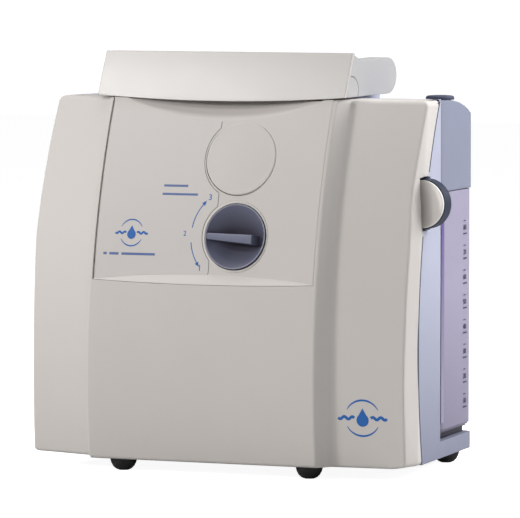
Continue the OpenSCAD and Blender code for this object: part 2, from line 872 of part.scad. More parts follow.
// Shaft with the rotor
module motor_shaft() place() color(steel) {
    on_crank(-122) {
        cylinder(r = shaft_radius, h = 106);
        translate([0, 0, 22]) cylinder(r = 20, h = 36);
    }
}
module cooling_fan() place() color(fan_black) {
    on_crank(-121) difference() {
        union() {
            cylinder(r = 8, h = 9);
            // seven pitched blades
            for (a = [0:51.43:359]) rotate([0, 0, a]) translate([6, -0.8, 0.5])
                rotate([24, 0, 0]) translate([0, 0, 1]) cube([19, 1.6, 7]);
        }
        translate([0, 0, -1]) cylinder(r = shaft_radius + 0.02, h = 12);
    }
}
module eccentric() place() color(steel) {
    on_crank(-34) difference() {
        union() {
            translate([-3, 0, 0]) cylinder(r = 9, h = 10);
            translate([5, -7, -3]) cube([10, 14, 3]);
        }
        translate([0, 0, -5]) cylinder(r = shaft_radius + 0.02, h = 20);
    }
}

// Crankcase and pump head

// Square slab shared by the flange, valve plate and head
module head_slab(z, height) {
    translate([head_x - head_size / 2, crank_y - head_size / 2, z])
        cube([head_size, head_size, height]);
}
module at_head_screws(z) {
    for (x = [-23.5, 23.5], y = [-23, 23]) translate([head_x + x, crank_y + y, z]) children();
}
module crankcase() place() color(cast_alloy) {
    difference() {
        union() {
            translate([-48, crank_y - head_size / 2, seat_z]) cube([44, head_size, 80]);
            head_slab(crankcase_top - 8, 8);
        }
        translate([-44, crank_y - 23, tray_z + 6]) cube([36, 46, 66]);
        translate([bore_x, crank_y, tray_z + 60]) cylinder(r = 20, h = 30);
        on_crank(-60) cylinder(r = 5, h = 30);
        at_head_screws(tray_z + 65) cylinder(r = 1.6, h = 30);
    }
}
module connecting_rod() place() color(rod_alloy) {
    rod_x = -31;
    difference() {
        union() {
            translate([0, 0, 3]) on_crank(rod_x) cylinder(r = 20, h = 6);
            translate([rod_x, crank_y - 5, crank_z + 16]) cube([6, 10, crankcase_top - crank_z - 22]);
            translate([-28, crank_y, crankcase_top - 7]) cylinder(r = 8, h = 5);
        }
        translate([0, 0, 1]) on_crank(-40) cylinder(r = 16.6, h = 20);
    }
}
module diaphragm() place() color(rubber) {
    translate([bore_x, crank_y, crankcase_top + 0.05])
        rotate_extrude() polygon([[0, 0], [26, 0], [26, 2], [0, 2]]);
}
module valve_plate() place() color(plate_alloy) {
    difference() {
        head_slab(crankcase_top + 2.1, 5);
        translate([bore_x, crank_y, crankcase_top + 1])
            rotate_extrude() polygon([[0, 0], [20, 0], [18, 3], [0, 3]]);
        for (x = valve_xs) translate([x, crank_y, crankcase_top]) cylinder(r = 2, h = 20);
        at_head_screws(crankcase_top) cylinder(r = 1.6, h = 30);
    }
}
module valve_flaps() place() color(rubber) {
    for (x = valve_xs) translate([x, crank_y, head_z]) cylinder(r = 4.5, h = 0.8);
}
module pump_head() place() color(cast_alloy) {
    difference() {
        union() {
            head_slab(head_z, 14);
            for (x = valve_xs) translate([x, port_y, port_z]) cylinder_forward(r = 3.4, h = port_length);
        }
        // one chamber over each valve
        for (x = [bore_x - 17, bore_x + 1])
            translate([x, crank_y - 12, crankcase_top + 6]) cube([16, 24, 11]);
        at_head_screws(crankcase_top) cylinder(r = 1.6, h = 30);
        for (x = valve_xs) translate([x, crank_y - 8, port_z]) cylinder_forward(r = 2, h = 40);
    }
}
module head_screws() place() color(steel) {
    at_head_screws(crankcase_top) {
        translate([0, 0, -6]) cylinder(r = 1.55, h = 28);
        translate([0, 0, 21.2]) cylinder(r = 3, h = 2.5);
    }
}

// Silencer, hoses and wiring

module silencer() place() color(silencer_grey) {
    translate([silencer_x, silencer_y, silencer_z]) rotate([-90, 0, 0]) difference() {
        union() {
            cylinder(r = 11, h = 40);
            translate([0, 0, 39]) cylinder(r = 5, h = 8.4);
            translate([0, 0, -10]) cylinder(r = 3.4, h = 12);
        }
        translate([0, 0, 2]) cylinder(r = 9, h = 36);
        translate([0, 0, -12]) cylinder(r = 2, h = 80);
    }
}

// Round rod along the points, with a ball at each bend
module tube(points, radius) {
    for (i = [0:len(points) - 2]) {
        run = points[i + 1] - points[i];
        length = norm(run);
        translate(points[i]) rotate([0, acos(run[2] / length), atan2(run[1], run[0])])
            cylinder(r = radius, h = length, $fn = 24);
    }
    for (i = [1:1:len(points) - 2]) translate(points[i]) sphere(r = radius * 1.02, $fn = 24);
}
hose_start_y = port_y - port_length - hose_gap;
module vacuum_hose() place() color(hose_clear) {
    tube([
        [suction_x, hose_start_y, port_z],
        [suction_x, 46, port_z],
        [suction_x, 46, dock_z],
        [suction_x, dock_y, dock_z],
        [bay_x - 16 - hose_gap, dock_y, dock_z]
    ], 3.2);
}
module regulator_hose() place() color(hose_clear) {
    tube([
        [44.3, 64.4, 154.4],
        [48.5, 64.4, 154.4],
        [48.5, 64.4, 190],
        [suction_x, 64.4, 190],
        [suction_x, 49.4, 190]
    ], 2.6);
}
module exhaust_hose() place() color(hose_clear) {
    tube([
        [exhaust_x, hose_start_y, port_z],
        [exhaust_x, 54, port_z],
        [18, 54, crankcase_top],
        [18, 66, 66],
        [silencer_x, 90, silencer_z],
        [silencer_x, silencer_y - 10 - hose_gap, silencer_z]
    ], 3.2);
}
module terminal_block() place() color(terminal_white) {
    difference() {
        translate([-104, 50, seat_z]) cube([40, 14, 16]);
        for (i = [0:4]) translate([-100 + i * 8, 57, tray_z + 8]) cylinder(r = 2, h = 20);
    }
}

front_shell();
control_panel();
panel_overlay();
gauge_blank();
vacuum_knob();
regulator_body();
regulator_spindle();
regulator_spring();
regulator_nut();
rear_housing();
handle_frame();
handle_cover();
handle_pins();
canister();
canister_lid();
lid_seal();
port_cap();
float_cage();
float_ball();
lid_filter();
docking_port();
docking_seal();
release_lever();
lever_cap();
lever_pin();
lever_spring();
feet();
foot_screws();
shell_screws();
mains_inlet();
fuse_drawer();
switch_frame();
rocker_switch();
pump_tray();
vibration_mounts();
motor_cradle();
motor_can();
motor_shaft();
motor_bearings();
cooling_fan();
eccentric();
crankcase();
connecting_rod();
diaphragm();
valve_plate();
valve_flaps();
pump_head();
head_screws();
silencer();
vacuum_hose();
regulator_hose();
exhaust_hose();
terminal_block();
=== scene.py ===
"""A portable suction unit: casing with knob and panel, carrying handle and side canister.

The visible skins, prints and shadow lines are built here. Sizes are in millimetres, measured in
the casing's own frame: X to the right from its middle plane, Y backwards from its foremost
point, Z up from the floor. point() turns them into metres.
"""

import math

import bmesh
import bpy
import numpy as np
from mathutils import Matrix, Vector


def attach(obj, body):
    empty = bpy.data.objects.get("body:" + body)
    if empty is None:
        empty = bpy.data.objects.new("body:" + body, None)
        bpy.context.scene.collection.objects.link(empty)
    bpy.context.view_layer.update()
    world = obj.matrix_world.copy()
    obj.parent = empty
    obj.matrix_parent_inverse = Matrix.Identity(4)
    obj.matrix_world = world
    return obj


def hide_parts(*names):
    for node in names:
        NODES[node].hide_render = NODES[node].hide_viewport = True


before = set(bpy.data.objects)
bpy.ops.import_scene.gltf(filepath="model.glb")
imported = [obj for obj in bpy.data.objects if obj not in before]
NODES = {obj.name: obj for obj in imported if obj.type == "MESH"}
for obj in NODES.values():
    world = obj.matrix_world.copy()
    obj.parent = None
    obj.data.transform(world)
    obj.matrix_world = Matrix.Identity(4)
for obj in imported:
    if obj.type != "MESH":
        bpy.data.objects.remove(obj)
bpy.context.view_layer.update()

# ---------------------------------------------------------------- driving dimensions
ORIGIN_X, ORIGIN_Y = -7.45, -89.005         # casing frame in the scene
BOTTOM, TOP = 10.0, 259.5                   # casing heights
BARREL_R, BARREL_Z = 496.0, 65.0            # the front is a barrel about a horizontal axis
SEAM_R, SEAM_Z, SEAM_FRONT = 300.0, 86.5, 27    # bowed joint between front and rear mouldings
SIDE_FRONT, SIDE_MAX = 142.0, 146.4         # half widths, at the front and at the widest place
SIDE_Y0, SIDE_Y1 = 12, 28                   # the side widens between these
SIDE_TAPER = 0.1334                         # narrowing behind SIDE_Y1
CORNER_R = 1.5
SKIN = 2.4                                  # wall of the front shell and the panel
LEFT_FLAT_END, RIGHT_FLAT_START = -94.6, 102    # outer front sections, towards the middle

PANEL_X0, PANEL_X1 = -91.0, 78.0            # opening for the control panel
PANEL_MID, PANEL_HALF = (PANEL_X0 + PANEL_X1) / 2, (PANEL_X1 - PANEL_X0) / 2
PANEL_SETBACK = 1.0                         # how far the panel lies behind the barrel
PANEL_LOW_Z = 134.0                         # foot of the panel's main surface
PANEL_SINK = 1.5                            # hollow at the foot of the panel

KNOB_X, KNOB_Z, KNOB_R = 16.1, 165.3, 22.8
KNOB_RIM = 0.35                             # the rim stands this far out of the panel's frame
KNOB_BACK = -12.9
KNOB_FACE_R = 21.95
WELL_BACK = -14
BLANK_X, BLANK_Z, BLANK_R = 14.1, 218.8, 26.15
PAD_X, PAD_Y, PAD_Z, PAD_R = 142.8, 40.0, 189.1, 16.6
HANDLE_X, HANDLE_HALF = -9.1, 94.6

# How far the front lies behind the full barrel: (x, setback).
PLAN = [
    (-170, 23.0), (-142.5, 16.6), (-130, 13.2), (-110, 7.2), (-94.6, 2.5), (-94.0, 2.2),
    (-93.5, 1.2), (-92.9, 0.35), (-92.0, 0.05), (-90, 0.0), (79.2, 0.0), (80.2, 0.15),
    (81.1, 0.7), (81.8, 1.5), (86.7, 7.1), (87.5, 7.8), (88.6, 8.1), (92.4, 8.5), (96.5, 8.9),
    (102, 9.35), (142.5, 12.6), (170, 15.0)]
# Front corner of the right side: (z, x).
RIGHT_CORNER = [(10, 142.2), (158, 142.4), (180, 141.6), (207, 141.0), (235, 142.2), (262, 142.8)]


def point(x, y, z):
    """Casing millimetres to scene metres."""
    return ((x + ORIGIN_X) / 1000, (y + ORIGIN_Y) / 1000, z / 1000)


def smoothstep(t):
    t = min(1.0, max(0.0, t))
    return t * t * (3 - 2 * t)


def interp(x, table):
    return float(np.interp(x, [row[0] for row in table], [row[1] for row in table]))


# ---------------------------------------------------------------- casing surfaces
def barrel(z, depth=0.0):
    """Y of the barrel, or of one lying depth inside it."""
    return BARREL_R - math.sqrt((BARREL_R - depth) ** 2 - (z - BARREL_Z) ** 2)


def front_y(x, z):
    return barrel(z, interp(x, PLAN))


def seam_y(z):
    return SEAM_FRONT + SEAM_R - math.sqrt(SEAM_R ** 2 - (z - SEAM_Z) ** 2)


def side_x(y):
    """Half width of the casing."""
    if y <= SIDE_Y0:
        return SIDE_FRONT
    if y <= SIDE_Y1:
        return SIDE_FRONT + (SIDE_MAX - SIDE_FRONT) * (y - SIDE_Y0) / (SIDE_Y1 - SIDE_Y0)
    return SIDE_MAX - SIDE_TAPER * (y - SIDE_Y1)


def side_right(y, z, corner_y):
    """The right side opens out from the front corner to the side wall."""
    return min(side_x(y), interp(z, RIGHT_CORNER) + 0.33 * max(0.0, y - corner_y))


def dish(y, z):
    """Shallow thumb scoop in the right side, around the release lever's pad."""
    inside = 1 - ((y - 46) / 20.5) ** 2 - ((z - 188.0) / 20.3) ** 2
    return 1.6 * inside if inside > 0 else 0.0


def panel_belly(x):
    """1 at the middle of the panel, 0 at its sides."""
    return max(0.0, 1 - ((x - PANEL_MID) / PANEL_HALF) ** 2)


def lens_low(x):
    """Lower edge of the band at the panel's foot."""
    return 133.4 - 1.9 * panel_belly(x)


def lens_high(x):
    return PANEL_LOW_Z + 4.6 * panel_belly(x)


def panel_sink(x, z):
    return PANEL_SINK * panel_belly(x) * (1 - smoothstep((z - PANEL_LOW_Z) / 70.0))


def panel_flat_y(x, z):
    """The panel's own surface without the finger scoop."""
    return barrel(z, PANEL_SETBACK + panel_sink(x, z))


def scoop_y(x, z):
    """Conical finger scoop at the top of the panel."""
    return 20 + (310.5 - math.hypot(x + 5, z - (TOP + 285))) / 0.75


def panel_top_y(x, z):
    return max(scoop_y(x, z), panel_flat_y(x, z))


def crease_z(x):
    """Height at which the scoop cuts the panel, found by bisection."""
    low, high = 200.0, TOP
    for _ in range(50):
        middle = (low + high) / 2
        if scoop_y(x, middle) > panel_flat_y(x, middle):
            high = middle
        else:
            low = middle
    return low


def film(x, z):
    """Front face of the printed overlay."""
    return panel_flat_y(x, z) - 0.17


def local_frame(x, z, depth=0.0):
    """Frame on the barrel: Z outwards, X to the right, Y up the surface."""
    tilt = math.asin((z - BARREL_Z) / BARREL_R)
    out = Vector((0, -math.cos(tilt), math.sin(tilt)))
    up = Vector((0, math.sin(tilt), math.cos(tilt)))
    origin = Vector(point(x, barrel(z, depth), z))
    return Matrix((
        (1, up.x, out.x, origin.x),
        (0, up.y, out.y, origin.y),
        (0, up.z, out.z, origin.z),
        (0, 0, 0, 1)))


def to_frame(matrix, verts):
    """Millimetres in a local frame to scene metres."""
    return [tuple(matrix @ Vector((x / 1000, y / 1000, z / 1000))) for x, y, z in verts]


# ---------------------------------------------------------------- materials
MIX_A, MIX_B, MIX_RESULT = 6, 7, 2          # colour sockets of a Mix node


def colour_mix(tree):
    mix = tree.nodes.new("ShaderNodeMix")
    mix.data_type = "RGBA"
    return mix


def material(name, colour, rough=0.45, vary=0.04, vary_scale=28.0, grain=0.012, metallic=0.0,
             bevel=0.0, transmission=0.0, ior=1.46, spec=0.5):
    """Plastic or metal with a mottled colour and a fine bump.

    vary is the share by which the colour wanders, vary_scale the scale of its noise;
    grain (bump depth) and bevel (rounded shading of edges) are in mm.
    """
    mat = bpy.data.materials.new(name)
    mat.use_nodes = True
    tree = mat.node_tree
    nodes, link = tree.nodes, tree.links.new
    shader = nodes["Principled BSDF"]
    coord = nodes.new("ShaderNodeTexCoord")

    mottle = nodes.new("ShaderNodeTexNoise")
    mottle.inputs["Scale"].default_value = vary_scale
    mottle.inputs["Detail"].default_value = 4
    link(coord.outputs["Object"], mottle.inputs["Vector"])
    mix = colour_mix(tree)
    mix.inputs[MIX_A].default_value = [c * (1 - vary) for c in colour] + [1]
    mix.inputs[MIX_B].default_value = [min(1, c * (1 + vary)) for c in colour] + [1]
    link(mottle.outputs["Fac"], mix.inputs[0])
    link(mix.outputs[MIX_RESULT], shader.inputs["Base Color"])

    fine = nodes.new("ShaderNodeTexNoise")
    fine.inputs["Scale"].default_value = 2600.0
    fine.inputs["Detail"].default_value = 2
    link(coord.outputs["Object"], fine.inputs["Vector"])

    roughness = nodes.new("ShaderNodeMapRange")
    roughness.inputs["To Min"].default_value = max(0.02, rough - 0.05)
    roughness.inputs["To Max"].default_value = min(1.0, rough + 0.05)
    link(mottle.outputs["Fac"], roughness.inputs["Value"])
    link(roughness.outputs["Result"], shader.inputs["Roughness"])

    bump = nodes.new("ShaderNodeBump")
    bump.inputs["Strength"].default_value = 0.35
    bump.inputs["Distance"].default_value = grain * 0.001
    link(fine.outputs["Fac"], bump.inputs["Height"])
    if bevel > 0:
        rounded = nodes.new("ShaderNodeBevel")
        rounded.samples = 6
        rounded.inputs["Radius"].default_value = bevel * 0.001
        link(rounded.outputs["Normal"], bump.inputs["Normal"])
    link(bump.outputs["Normal"], shader.inputs["Normal"])

    for socket, value in {
            "Metallic": metallic, "Coat Roughness": 0.25, "IOR": ior,
            "Specular IOR Level": spec, "Transmission Weight": transmission}.items():
        shader.inputs[socket].default_value = value
    return mat


SHELL = dict(colour=(0.575, 0.545, 0.518), rough=0.55, vary=0.02, grain=0.03, spec=0.3)
MATT = dict(rough=0.5, spec=0.3)
WALL = dict(rough=0.4, vary_scale=28.0)
MATERIALS = {
    "shell": material("shell_plastic", **SHELL),
    "shell_cad": material("shell_plastic_cad", **SHELL, bevel=0.7),
    "panel": material("panel_plastic", (0.585, 0.553, 0.525), rough=0.55, vary=0.02, grain=0.02,
                      spec=0.3),
    "foil": material("overlay_foil", (0.585, 0.556, 0.535), vary=0.015, grain=0.01, **MATT),
    "line": material("joint_shadow", (0.16, 0.155, 0.15), rough=0.8, vary=0.1),
    "cover": material("handle_cover_plastic", (0.53, 0.507, 0.486), rough=0.29, vary=0.02,
                      grain=0.02, bevel=0.7),
    # painted light: the thumb pad is made brighter than the shell's plastic
    "pad_light_and_shade": material("thumb_pad_painted_light_and_shade", (0.83, 0.79, 0.75), vary=0.02, grain=0.02, **MATT),
    # painted light for the upward-facing band at the foot of the panel
    "lens": material("panel_plastic_painted_light_band", (0.66, 0.626, 0.60), vary=0.02, grain=0.02,
                     **MATT),
    "cap": material("port_cap_plastic", (0.062, 0.07, 0.115), vary=0.05, grain=0.02, bevel=0.4,
                    **MATT),
    "seam": material("seam_shadow", (0.06, 0.068, 0.11), rough=0.8, vary=0.1),
    # painted highlight on the top of the knob's wing bar
    "knob_bar_highlight": material("knob_plastic_painted_highlight", (0.145, 0.157, 0.225), rough=0.42, grain=0.02),
    "knob": material("knob_plastic", (0.10, 0.106, 0.16), grain=0.02, spec=0.35),
    "knob_rim_highlight": material("knob_plastic_painted_rim_highlight", (0.26, 0.265, 0.34), rough=0.4, grain=0.02),
    "housing": material("housing_plastic", (0.43, 0.445, 0.55), vary=0.025, grain=0.03,
                        bevel=0.9, **MATT),
    "handle": material("handle_plastic", (0.42, 0.418, 0.42), vary=0.02, grain=0.03, bevel=0.9,
                       **MATT),
    "slate": material("slate_plastic", (0.026, 0.033, 0.058), rough=0.55, vary=0.05, grain=0.02,
                      spec=0.25, bevel=0.6),
    "lid": material("lid_plastic", (0.235, 0.25, 0.33), vary=0.025, grain=0.03, bevel=1.6, **MATT),
    "canister": material("canister_clear", (0.45, 0.42, 0.55), rough=0.32, vary=0.06,
                         vary_scale=240, grain=0.05, transmission=0.25, ior=1.25, spec=0.4,
                         bevel=1.2),
    "can_edge_shade": material("canister_wall_painted_shade", (0.125, 0.08, 0.27), rough=0.4, vary=0.06,
                         vary_scale=240, grain=0.05),
    # a painted highlight colour for the canister's edge
    "can_edge_highlight": material("canister_wall_painted_highlight", (0.62, 0.56, 0.95), rough=0.4, vary=0.03,
                         grain=0.02),
    "clear": material("clear_plastic", (0.8, 0.82, 0.86), rough=0.2, transmission=0.6, ior=1.3),
    "white": material("white_plastic", (0.78, 0.79, 0.80), rough=0.5),
    "seal": material("silicone_seal", (0.6, 0.6, 0.64), rough=0.6),
    "rubber": material("foot_rubber", (0.012, 0.012, 0.013), rough=0.55, vary=0.2, grain=0.05),
    "steel": material("plated_steel", (0.55, 0.56, 0.58), rough=0.3, metallic=1.0, bevel=0.3),
    "brass": material("turned_brass", (0.6, 0.45, 0.18), rough=0.3, metallic=1.0, bevel=0.3),
    "alloy": material("cast_alloy", (0.5, 0.51, 0.53), rough=0.5, metallic=1.0, grain=0.1,
                      bevel=0.6),
    "motor": material("motor_enamel", (0.16, 0.165, 0.18), rough=0.35, bevel=0.5),
    "black": material("black_plastic", (0.014, 0.014, 0.015), rough=0.5, vary=0.2, bevel=0.5),
    "hose": material("hose_silicone", (0.65, 0.62, 0.56), rough=0.5),
    "print": material("blue_print", (0.012, 0.115, 0.40), rough=0.5, vary=0.05),
    "print_grey": material("grey_print", (0.10, 0.15, 0.33), rough=0.5, vary=0.05),
    "scale": material("scale_print", (0.035, 0.03, 0.07), rough=0.6, vary=0.05),
}


def blend_colour(mat, position, start, end, below=None, above=None):
    """Fades the base colour to below or above as position (metres) runs from start to end."""
    tree = mat.node_tree
    base = tree.nodes["Principled BSDF"].inputs["Base Color"]
    source = base.links[0].from_socket
    span = tree.nodes.new("ShaderNodeMapRange")
    span.inputs["From Min"].default_value = start
    span.inputs["From Max"].default_value = end
    tree.links.new(position, span.inputs["Value"])
    mix = colour_mix(tree)
    tree.links.new(span.outputs["Result"], mix.inputs[0])
    fixed, kept = (MIX_A, MIX_B) if below else (MIX_B, MIX_A)
    mix.inputs[fixed].default_value = [*(below or above), 1]
    tree.links.new(source, mix.inputs[kept])
    tree.links.new(mix.outputs[MIX_RESULT], base)


def shade_along(key, start, end, axis="Z", **colours):
    """Blends a material over a range (mm) of one axis of the part's own frame."""
    mat = MATERIALS[key]
    nodes = mat.node_tree.nodes
    coord = nodes.new("ShaderNodeTexCoord")
    split = nodes.new("ShaderNodeSeparateXYZ")
    mat.node_tree.links.new(coord.outputs["Object"], split.inputs[0])
    blend_colour(mat, split.outputs[axis], start / 1000, end / 1000, **colours)


def paint_knob_hollow_shade():
    """Painted shade: darkens the knob's plastic towards the floor of its hollows."""
    mat = MATERIALS["knob"]
    matrix = local_frame(KNOB_X, KNOB_Z, PANEL_SETBACK)
    out = Vector((matrix[0][2], matrix[1][2], matrix[2][2]))
    face = out.dot(Vector((matrix[0][3], matrix[1][3], matrix[2][3])))
    nodes = mat.node_tree.nodes
    coord = nodes.new("ShaderNodeTexCoord")
    dot = nodes.new("ShaderNodeVectorMath")
    dot.operation = "DOT_PRODUCT"
    dot.inputs[1].default_value = out
    mat.node_tree.links.new(coord.outputs["Object"], dot.inputs[0])
    blend_colour(mat, dot.outputs["Value"], face - 0.0078, face + 0.0002,
                 below=(0.05, 0.046, 0.066))


# painted shade: the dark strip at the front of the canister's side fades out towards the bottom
shade_along("can_edge_shade", 60.0, 190.0, below=(0.26, 0.235, 0.34))
# painted shade: the thumb pad darkens towards the left, where the casing's corner shades it
shade_along("pad_light_and_shade", 136.0, 144.5, axis="X", below=(0.47, 0.445, 0.42))
# painted shade: the canister darkens towards the bottom, and is near black below 26 mm, in the gap
# above the ledge
shade_along("canister", 20.0, 125.0, below=(0.29, 0.265, 0.365))
shade_along("canister", 26.0, 27.4, below=(0.035, 0.03, 0.05))
# painted shade: the housing darkens towards the bottom
shade_along("housing", 5.0, 150.0, below=(0.215, 0.225, 0.30))
# painted shade: the hinge lug rising above the top, under the handle, is dark
shade_along("housing", TOP + 0.6, TOP + 0.8, above=(0.03, 0.035, 0.055))
paint_knob_hollow_shade()

# CAD pieces by material.
CAD_PIECES = {
    "foil": "panel_overlay",
    "shell_cad": "gauge_blank lever_cap front_shell control_panel",
    "knob": "vacuum_knob",
    "brass": "regulator_body regulator_spindle regulator_nut",
    "steel": "regulator_spring handle_pins lever_pin lever_spring foot_screws shell_screws "
             "pump_tray motor_shaft motor_bearings eccentric head_screws",
    "housing": "rear_housing",
    "handle": "handle_frame",
    "cover": "handle_cover",
    "canister": "canister",
    "lid": "canister_lid",
    "seal": "lid_seal",
    "cap": "port_cap",
    "clear": "float_cage",
    "white": "float_ball lid_filter terminal_block",
    "slate": "docking_port release_lever",
    "rubber": "docking_seal feet vibration_mounts diaphragm valve_flaps",
    "black": "mains_inlet fuse_drawer switch_frame rocker_switch cooling_fan silencer",
    "alloy": "motor_cradle crankcase connecting_rod valve_plate pump_head",
    "motor": "motor_can",
    "hose": "vacuum_hose regulator_hose exhaust_hose",
}
CAD_MATERIAL = {piece: key for key, pieces in CAD_PIECES.items() for piece in pieces.split()}


# ---------------------------------------------------------------- smooth shading
def smooth_group():
    """Shades every edge under 32 degrees smooth."""
    group = bpy.data.node_groups.new("smooth_by_angle", "GeometryNodeTree")
    for direction in ("INPUT", "OUTPUT"):
        group.interface.new_socket("Geometry", in_out=direction,
                                   socket_type="NodeSocketGeometry")
    new, link = group.nodes.new, group.links.new
    source, result = new("NodeGroupInput"), new("NodeGroupOutput")
    angle = new("GeometryNodeInputMeshEdgeAngle")
    sharp = new("FunctionNodeCompare")
    sharp.data_type = "FLOAT"
    sharp.operation = "GREATER_THAN"
    sharp.inputs[1].default_value = math.radians(32)
    smooth_faces = new("GeometryNodeSetShadeSmooth")
    smooth_faces.domain = "FACE"
    sharp_edges = new("GeometryNodeSetShadeSmooth")
    sharp_edges.domain = "EDGE"
    sharp_edges.inputs["Shade Smooth"].default_value = False
    link(source.outputs[0], smooth_faces.inputs[0])
    link(smooth_faces.outputs[0], sharp_edges.inputs[0])
    link(angle.outputs["Unsigned Angle"], sharp.inputs[0])
    link(sharp.outputs[0], sharp_edges.inputs["Selection"])
    link(sharp_edges.outputs[0], result.inputs[0])
    return group


SMOOTH = smooth_group()


def smooth_by_angle(obj):
    obj.modifiers.new("smooth", "NODES").node_group = SMOOTH


def dress_cad_pieces():
    for name, obj in NODES.items():
        obj.data.materials.clear()
        obj.data.materials.append(MATERIALS[CAD_MATERIAL[name]])
        if obj.data.has_custom_normals:
            bpy.context.view_layer.objects.active = obj
            with bpy.context.temp_override(object=obj, active_object=obj,
                                           selected_objects=[obj]):
                bpy.ops.mesh.customdata_custom_splitnormals_clear()
        obj.modifiers.new("weld", "WELD").merge_threshold = 2e-6
        smooth_by_angle(obj)


dress_cad_pieces()


# ---------------------------------------------------------------- mesh helpers
def build_mesh(name, verts, faces, merge_dist=2e-6, sliver_dist=1e-6):
    """A mesh from points in metres, with doubles merged and normals turned outwards."""
    mesh = bpy.data.meshes.new(name)
    mesh.from_pydata(verts, [], faces)
    bm = bmesh.new()
    bm.from_mesh(mesh)
    bmesh.ops.remove_doubles(bm, verts=bm.verts, dist=merge_dist)
    bmesh.ops.dissolve_degenerate(bm, edges=bm.edges, dist=sliver_dist)
    bmesh.ops.recalc_face_normals(bm, faces=bm.faces)
    bm.to_mesh(mesh)
    bm.free()
    return mesh


def link_object(name, mesh):
    obj = bpy.data.objects.new(name, mesh)
    bpy.context.scene.collection.objects.link(obj)
    return obj


def add_mesh(name, mesh, mat, body):
    """Links a mesh that rides on a body."""
    mesh.materials.append(MATERIALS[mat])
    obj = link_object(name, mesh)
    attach(obj, body)
    return obj


def add_piece(name, verts, faces, mat, body, slot, replaces=(), smooth=True):
    obj = add_mesh(name, build_mesh(name, verts, faces), mat, body)
    if replaces:
        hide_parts(*replaces)
    if smooth:
        smooth_by_angle(obj)
    return obj


def solid_sheet(outer, inner, keep=None):
    """Closes a grid of points with a second grid behind it. Both are [row][column] lists.

    keep(row, column) tells which cells to fill.
    """
    rows, cols = len(outer), len(outer[0])
    verts = [p for grid in (outer, inner) for row in grid for p in row]
    back = rows * cols
    faces = []
    edges = {}
    for r in range(rows - 1):
        for c in range(cols - 1):
            if keep and not keep(r, c):
                continue
            a = r * cols + c
            quad = (a, a + 1, a + cols + 1, a + cols)
            faces.append(quad)
            faces.append(tuple(back + i for i in reversed(quad)))
            for i in range(4):
                edges[quad[i], quad[(i + 1) % 4]] = True
    for a, b in edges:
        if (b, a) not in edges:
            faces.append((b, a, back + a, back + b))
    return verts, faces


def add_sheet(name, outer, inner, mat, body, slot, keep=None, **options):
    """A closed sheet from two grids in casing millimetres."""
    verts, faces = solid_sheet(outer, inner, keep)
    return add_piece(name, [point(*v) for v in verts], faces, mat, body, slot, **options)


def revolve(profile, close=True, lift=None):
    """Turns a profile of (radius, height) about local Z; lift(x, y, height) raises points."""
    segments, count = 128, len(profile)
    verts, faces = [], []
    for i in range(segments):
        a = 2 * math.pi * i / segments
        for r, h in profile:
            x, y = r * math.cos(a), r * math.sin(a)
            verts.append((x, y, h + lift(x, y, h) if lift else h))
    for i in range(segments):
        j = (i + 1) % segments
        for k in range(count if close else count - 1):
            n = (k + 1) % count
            faces.append((i * count + k, j * count + k, j * count + n, i * count + n))
    return verts, faces


def add_ring(name, x, z, profile, mat, slot, body="casing", replaces=(), **options):
    """A turned piece, square to the panel at (x, z)."""
    verts, faces = revolve(profile, **options)
    verts = to_frame(local_frame(x, z, PANEL_SETBACK), verts)
    return add_piece(name, verts, faces, mat, body, slot, replaces)


def bore(obj, x, z, radius):
    """Bores a round hole through a skin, square to the barrel."""
    above, below = 30, -40
    verts, faces = revolve([(0, above), (radius, above), (radius, below), (0, below)],
                           close=False)
    mesh = build_mesh("cutter", to_frame(local_frame(x, z), verts), faces,
                      merge_dist=1e-6, sliver_dist=1e-7)
    cutter = link_object("cutter", mesh)
    mod = obj.modifiers.new("bore", "BOOLEAN")
    mod.operation = "DIFFERENCE"
    mod.solver = "EXACT"
    mod.object = cutter
    # The bore is applied ahead of the smoothing, so it goes first in the stack.
    while obj.modifiers[0].name != mod.name:
        with bpy.context.temp_override(object=obj, active_object=obj):
            bpy.ops.object.modifier_move_up(modifier=mod.name)
    with bpy.context.temp_override(object=obj, active_object=obj, selected_objects=[obj]):
        bpy.ops.object.modifier_apply(modifier=mod.name)
    bpy.data.objects.remove(cutter)


# ---------------------------------------------------------------- front shell
def front_columns():
    """Stations (zone, value) from the left seam round the front to the right seam.

    In the "x" zone the value is x in mm, elsewhere a share of the zone's length.
    """
    left_step = [-94.3, -94.0, -93.7, -93.4, -93.1, -92.8, -92.5, -92.1, -91.6, PANEL_X0]
    right_step = [78.6, 79.2, 79.7, 80.2, 80.6, 81.0, 81.4, 81.8, 82.6, 83.6, 84.6, 85.6, 86.4,
                  87.0, 87.6, 88.3, 89.2, 90.4, 91.8, 93.6, 96, 99, 102]
    zones = [
        ("left side", np.linspace(0, 1, 10)),
        ("left corner", np.linspace(0, 1, 8)[1:-1]),
        ("left front", np.linspace(0, 1, 16)),
        ("x", left_step),
        ("x", np.linspace(PANEL_X0, PANEL_X1, 60)[1:]),
        ("x", right_step),
        ("right front", np.linspace(0, 1, 44)[1:]),
        ("right corner", np.linspace(0, 1, 8)[1:-1]),
        ("right side", np.linspace(0, 1, 14))]
    return [(zone, value) for zone, values in zones for value in values]


COLUMNS = front_columns()


def bottom_drop(x):
    """The raised section and the right section hang a little below the left one."""
    return (-1.6 * smoothstep((x + 93.5) / 2.2) * (1 - 0.25 * smoothstep((x - 82.5) / 5.5))
            * (1 - smoothstep((x - 132) / 11)))


def left_corner(z, side_inset, front_inset):
    """Where the front meets the left side wall, as (distance from the middle, y)."""
    x = 142.0
    for _ in range(60):
        y = front_y(-x, z) + front_inset
        x += 0.6 * (side_x(y) - side_inset - x)
    return x, front_y(-x, z) + front_inset


